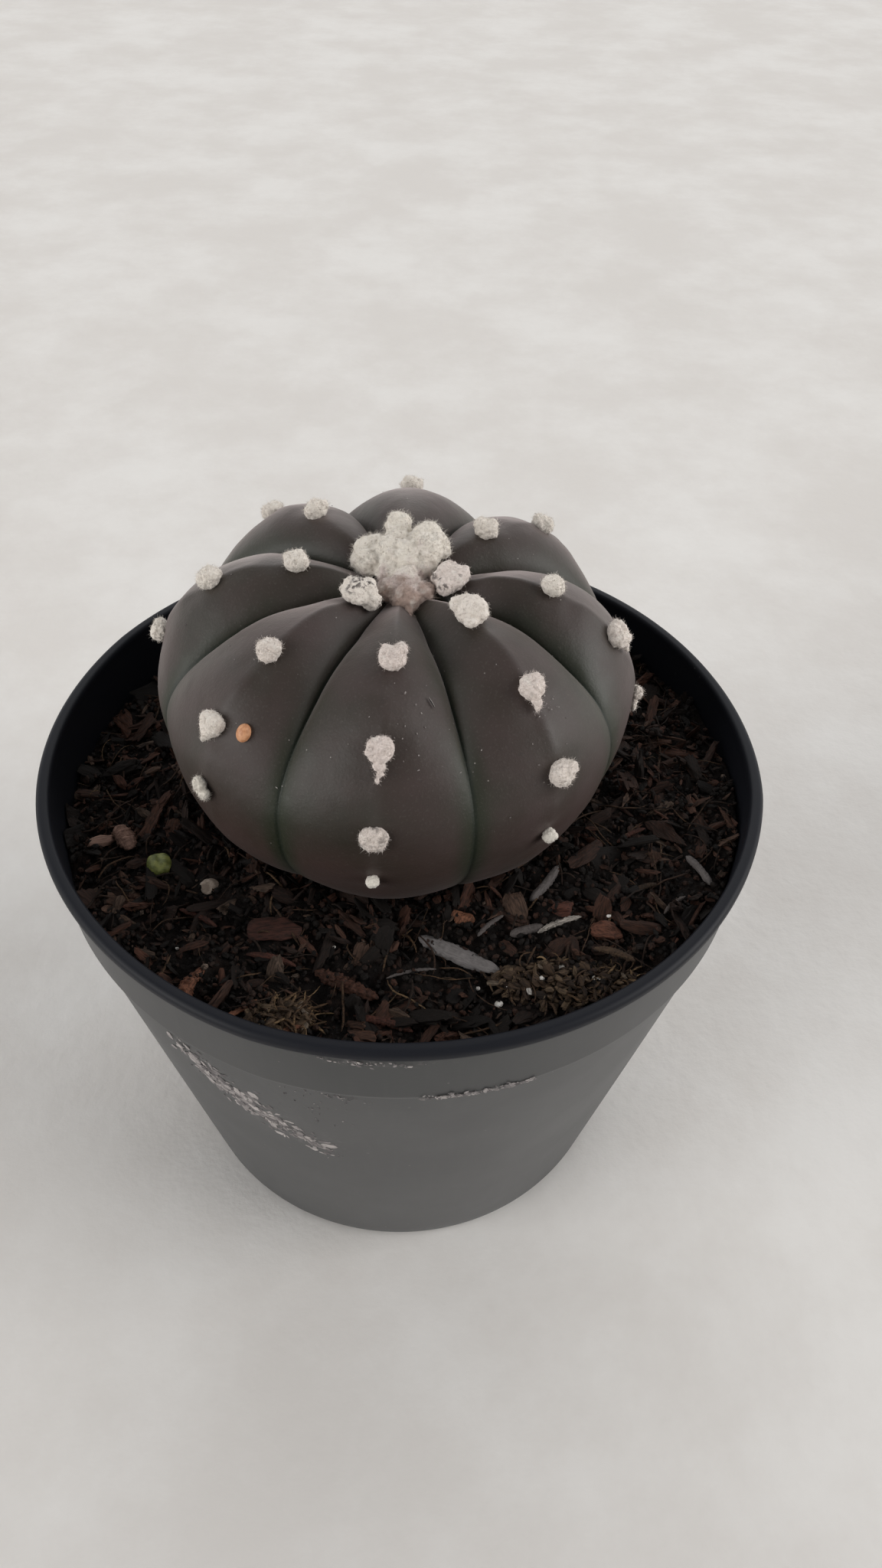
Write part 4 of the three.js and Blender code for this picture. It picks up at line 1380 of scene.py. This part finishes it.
def make_litter(bark, coir_wood):
    """The chunks, sticks and smaller bits, each in its place in the photo or near it."""
    wood = bark_look(
        "weathered_wood", (0.075, 0.058, 0.050), (0.12, 0.105, 0.10), (0.20, 0.185, 0.18),
        grain=0.45, gloss=0.7, contrast=0.3,
    )
    red = bark_look("red_bark", (0.032, 0.015, 0.012), (0.085, 0.032, 0.022), (0.20, 0.085, 0.048), grain=0.6)
    pink = bark_look("pink_bark", (0.20, 0.105, 0.08), (0.36, 0.225, 0.175), grain=0.6, contrast=0.4)

    def slot_of(material):
        return "weathered_wood" if material is wood else "bark"

    make_lump("bark_flat", 31, red, 0.22, 8, square=0.7, cuts=12)
    make_lump("bark_left", 32, pink, 0.9, 25, square=0.8)
    make_lump("bark_right", 33, red, 0.52, 15)
    make_lump("bark_far_right", 34, red, 0.66, -10)
    make_lump("bark_orange", 35, red, 1.0, 60)
    # The sticks that the CAD has: their three places, width, height, look, shade and what else differs.
    sticks = (
        ("wood_strip", [(3.8, -30.1), (9.0, -33.2), (14.9, -35.8)], 2.7, 1.2, wood, 1.0,
         {"rise": 0.35, "point": 3}),
        ("bark_curved", [(-25.2, -36.4), (-27.6, -40.4), (-25.4, -43.4)], 2.0, 1.5, red, 0.85,
         {"point": 3, "ragged": 0.5}),
        ("bark_long", [(-10.4, -36.2), (-6.0, -38.6), (-1.4, -41.0)], 2.2, 1.4, bark, 0.62,
         {"point": 2, "ragged": 0.7}),
        ("twig_right", [(23.9, -17.2), (21.9, -20.8), (19.5, -23.9)], 1.3, 1.3, wood, 0.55, {"rise": 0.5}),
        ("twig_pale", [(16.6, -29.9), (19.0, -29.0), (21.4, -28.6)], 1.4, 1.2, wood, 0.4, {"rise": 0.4}),
        ("twig_far_right", [(43.0, -14.9), (44.8, -17.4), (46.0, -20.0)], 1.1, 1.1, wood, 0.6, {"rise": 0.4}),
    )
    for seed, (node, path, width, height, material, shade, shape) in enumerate(sticks, 1):
        make_stick(node, path, width, height, material, slot_of(material), shade, seed, **shape)
    # Smaller bits that the CAD leaves out: their ends, width, look, shade and how high they lie.
    bits = (
        [(-43.4, -10.8), (-40.4, -15.0), 2.7, pink, 0.8, 1.0],
        [(-14.9, -47.4), (-10.9, -45.6), 0.8, red, 0.95, 0.9],
        [(20.4, -29.9), (26.6, -27.2), 0.9, coir_wood, 0.9, 1.0],
        [(27.9, -33.4), (33.4, -35.2), 1.1, coir_wood, 0.5, 1.6],
        [(-0.4, -37.9), (6.3, -36.1), 0.5, wood, 0.5, 0.9],
        [(-4.7, -28.9), (0.4, -28.9), 0.5, wood, 0.4, 0.8],
        [(-17.6, -41.6), (-24.0, -45.4), 0.8, red, 0.9, 0.9],
        [(34.6, -22.1), (38.0, -20.6), 0.9, coir_wood, 0.3, 0.8],
        [(-36.6, -6.0), (-30.4, -11.6), 0.6, coir_wood, 0.4, 1.0],
        [(12.0, -30.4), (15.6, -26.8), 0.7, wood, 0.45, 0.9],
        [(-31.0, -26.0), (-25.0, -29.5), 0.9, red, 0.35, 0.7],
        [(-20.0, -34.5), (-13.0, -36.0), 1.0, red, 0.4, 0.6],
        [(-4.0, -44.5), (3.5, -46.2), 1.2, red, 0.45, 0.6],
        [(33.0, -12.0), (37.5, -9.0), 0.8, red, 0.3, 0.7],
        [(38.5, -26.0), (42.0, -22.5), 0.7, wood, 0.2, 0.7],
    )
    for number, (start, end, width, material, shade, rise) in enumerate(bits):
        middle = (np.add(start, end) + [0.12 * (start[1] - end[1]), 0.12 * (end[0] - start[0])]) / 2
        make_stick(
            f"bit_{number + 1}", [start, middle, end], width, width * 0.7, material, slot_of(material), shade,
            60 + number, columns=12, rise=rise, point=3, ragged=0.45,
        )


# Pale specks of grit: (x, y), size and height above the soil.
GRIT = [
    (12.0, -39.1, 0.8, 1.0), (16.2, -39.1, 0.9, 1.3), (20.5, -38.6, 1.0, 2.2), (14.8, -41.7, 1.3, 1.0),
    (-30.0, -33.0, 0.6, 0.8), (30.5, -27.0, 0.7, 1.0), (-8.0, -32.5, 0.5, 0.9), (3.0, -44.5, 0.6, 0.9),
]


def make_grit():
    grit = plain_look("grit", (0.45, 0.42, 0.38), (0.75, 0.72, 0.68), 0.6, 0.7, 0.05)
    specks = Heap()
    for number, (x, y, size, height) in enumerate(GRIT):
        points, faces = shard(90 + number, (size, size * 0.8, size * 0.7), 2, 9, 0.7)
        specks.add(points + [x, y, soil_top(x, y) + height], faces)
    specks.make("grit_specks", grit, "granule", False)


def make_clump(node, seed, crumbs, threads, shades, grit, material, fibre):
    """A crust of matted bark and fibres, brown to golden, with pale specks of grit."""
    random = Random(seed)
    low, high = box_mm(node)
    centre, size = (low + high) / 2, high - low
    shapes = [shard(seed + 60 + i, (1, 1, 1), detail=2, cuts=9, square=0.45, power=4) for i in range(12)]
    crust, strings = Heap(), Heap()

    def place_on(share):
        angle = random.uniform(0, 2 * math.pi)
        out = math.sqrt(random.random())
        x, y = out * size[0] / 2 * math.cos(angle), out * size[1] / 2 * math.sin(angle)
        return centre + [x, y + 0.03 * x, size[2] * (share * (1 - 0.7 * out ** 2) - 0.42)]

    for _ in range(crumbs):
        length = random.uniform(0.6, 2.6)
        points, faces = random.choice(shapes)
        local = points * [length, length * random.uniform(0.3, 0.7), length * random.uniform(0.15, 0.45)]
        placed = turned(local, random.gauss(0, 0.9), random.gauss(0, 0.5), random.gauss(0, 0.7))
        shade = random.uniform(*shades) if random.random() > grit else 1.0
        crust.add(
            kept_inside(placed + place_on(random.uniform(0.1, 0.85))), faces,
            shade=shade, grain=local + GRAIN_SHIFT * random.random(),
        )
    for number in range(threads):
        start = place_on(random.uniform(0.35, 0.85))
        heading, length = random.gauss(0.1, 0.9), random.uniform(1.5, 4)
        bend = random.gauss(0, 0.25)
        path = [start]
        for k in range(6):
            step = np.array([math.cos(heading), math.sin(heading), 0.25 * math.sin(k + number)])
            path.append(path[-1] + step * length / 6)
            heading += bend
        width = random.uniform(0.14, 0.42)
        points, faces = tube(path, width, width * 0.6, 6, number, ragged=0.3)
        strings.add(kept_inside(points), faces, shade=random.uniform(0.2, 0.95), grain=points)
    crust.make(node + "_crust", material, "bark", False, [node])
    strings.make(node + "_threads", fibre, "coir", True)


def make_granule():
    """The small tan stone."""
    low, high = box_mm("tan_granule")
    points, faces = shard(41, (high - low) * [1.05, 1.05, 1.3], 4, 10, 0.8)
    points = points + unit(points) * (0.12 * roughness_at(points, 1.0, 3))[:, None]
    points += (low + high) / 2 - [0, 0, 0.2]
    look = plain_look("granule", (0.20, 0.155, 0.12), (0.40, 0.33, 0.27), 1.0, 0.8, 0.1)
    piece("granule", points, faces, look, "granule", True, ["tan_granule"])


def make_seedling():
    """A seedling: a squat, round green body that is a little flat on its sides."""
    low, high = box_mm("seedling")
    size, centre = high - low, (low + high) / 2
    directions, faces = ball(5)
    points = directions * block_reach(directions, 2.6)[:, None] * size / 2
    dent = np.exp(-((points[:, 0] - 0.25 * points[:, 1]) / 0.5) ** 2) * smoothstep(points[:, 2], 0.2, 1.4)
    points[:, 2] -= 0.22 * dent
    points = points + unit(points) * (0.06 * roughness_at(points, 0.8, 3))[:, None]
    points = turned(points * 1.02, 0.45, 0.12) + centre
    look = Look("seedling_green", roughness=0.55, subsurface_weight=0.1, subsurface_scale=0.001)
    mottle = look.noise(0.9, 4)
    look.set("Base Color", look.mix(look.between(mottle, 0.35, 0.65), (0.11, 0.13, 0.03), (0.25, 0.27, 0.075)))
    look.bump(look.noise(0.3, 3), 0.05)
    piece("seedling_body", points, faces, look.material, "seedling", True, ["seedling"])


def make_grain():
    """The orange grain that sticks to the skin."""
    low, high = box_mm("skin_seed")
    centre = (low + high) / 2
    _, out = skin_place(FRONT_LEFT, 0.4, 35.5)
    points, faces = ball(4)
    placed = (points * [1.0, 1.28, 0.85]) @ axes_out(out) + centre + out * 0.1
    look = Look("grain", roughness=0.5)
    mottle = look.noise(0.5, 3)
    look.set("Base Color", look.mix(look.between(mottle, 0.35, 0.65), (0.50, 0.22, 0.10), (0.66, 0.34, 0.18)))
    look.bump(look.noise(0.25, 3), 0.05)
    piece("grain_on_skin", placed, faces, look.material, "seed", True, ["skin_seed"])


# Patches of dust: rib, turn, distance, how far it strays in turn and in mm, and its count of specks.
DUST_SPOTS = [
    (FRONT, 0.35, 30, 0.3, 5, 22),
    (FRONT_RIGHT, -0.1, 34, 0.35, 6, 14),
    (FRONT_RIGHT, 0.15, 31.5, 0.06, 1, 16),
    (FRONT_LEFT, -0.1, 30, 0.5, 9, 8),
    *((rib, 0, 32, 0.8, 12, 8) for rib in range(len(RIBS))),
]


def make_dust():
    """Dust on the skin: pale specks, most of them on the ribs in front, and a scratch beside the front crest."""
    random = Random(17)
    heap = Heap()
    shapes = [shard(seed + 200, (1, 1, 1), 1, 7, 0.5) for seed in range(6)]
    for rib, turn, distance, wide, long, count in DUST_SPOTS:
        for _ in range(count):
            at = (rib, max(-0.95, min(0.95, random.gauss(turn, wide))), random.gauss(distance, long))
            origin, out = skin_place(*at)
            points, faces = random.choice(shapes)
            size = random.uniform(0.10, 0.26) * random.uniform(0.5, 1)
            local = turned(points * [size * random.uniform(1, 2.2), size, size * 0.6], random.uniform(0, 6.3))
            heap.add(local @ axes_out(out) + origin + out * 0.1, faces)
    look = plain_look("dust", (0.12, 0.105, 0.10), (0.36, 0.33, 0.31), 0.5, 0.9, 0.02)
    heap.make("skin_dust", look, "granule", False)
    steps = np.linspace(0, 1, 12)
    for name, shift, colours in (
        ("scratch_edge", 0.0, ((0.22, 0.20, 0.19), (0.34, 0.32, 0.30))),
        ("scratch_cut", 0.14, ((0.004, 0.004, 0.003), (0.010, 0.008, 0.007))),
    ):
        path = on_skin(FRONT, 0.60 + 0.08 * steps, 25.6 + 1.5 * steps + shift, 0.2)
        points, faces = tube(path, 0.16, 0.14, 8, 3, ragged=0.2, point=2)
        piece(name, points, faces, plain_look(name, *colours, 0.3, 0.8, 0.02), "cactus_skin")


# ---- Everything ----
bpy.context.scene.view_settings.view_transform = "Standard"
make_camera()
make_floor()
make_lights()
make_pot()
make_crust()
make_soil_bed()
make_stem()
make_roots()
make_wool()
bark = bark_look("bark_mix", *BARK_SHADES)
make_chips(bark)
make_crumbs(bark)
coir = bark_look("coir", *COIR_SHADES)
make_fibres(coir)
crust = bark_look("crust", *CRUST_SHADES)
make_clump("bark_clump", 12, 560, 120, (0.05, 0.78), 0.015, crust, coir)
make_clump("fibre_clump", 5, 300, 130, (0.3, 0.82), 0.0, crust, coir)
make_litter(bark, crust)
make_grit()
make_granule()
make_seedling()
make_grain()
make_dust()
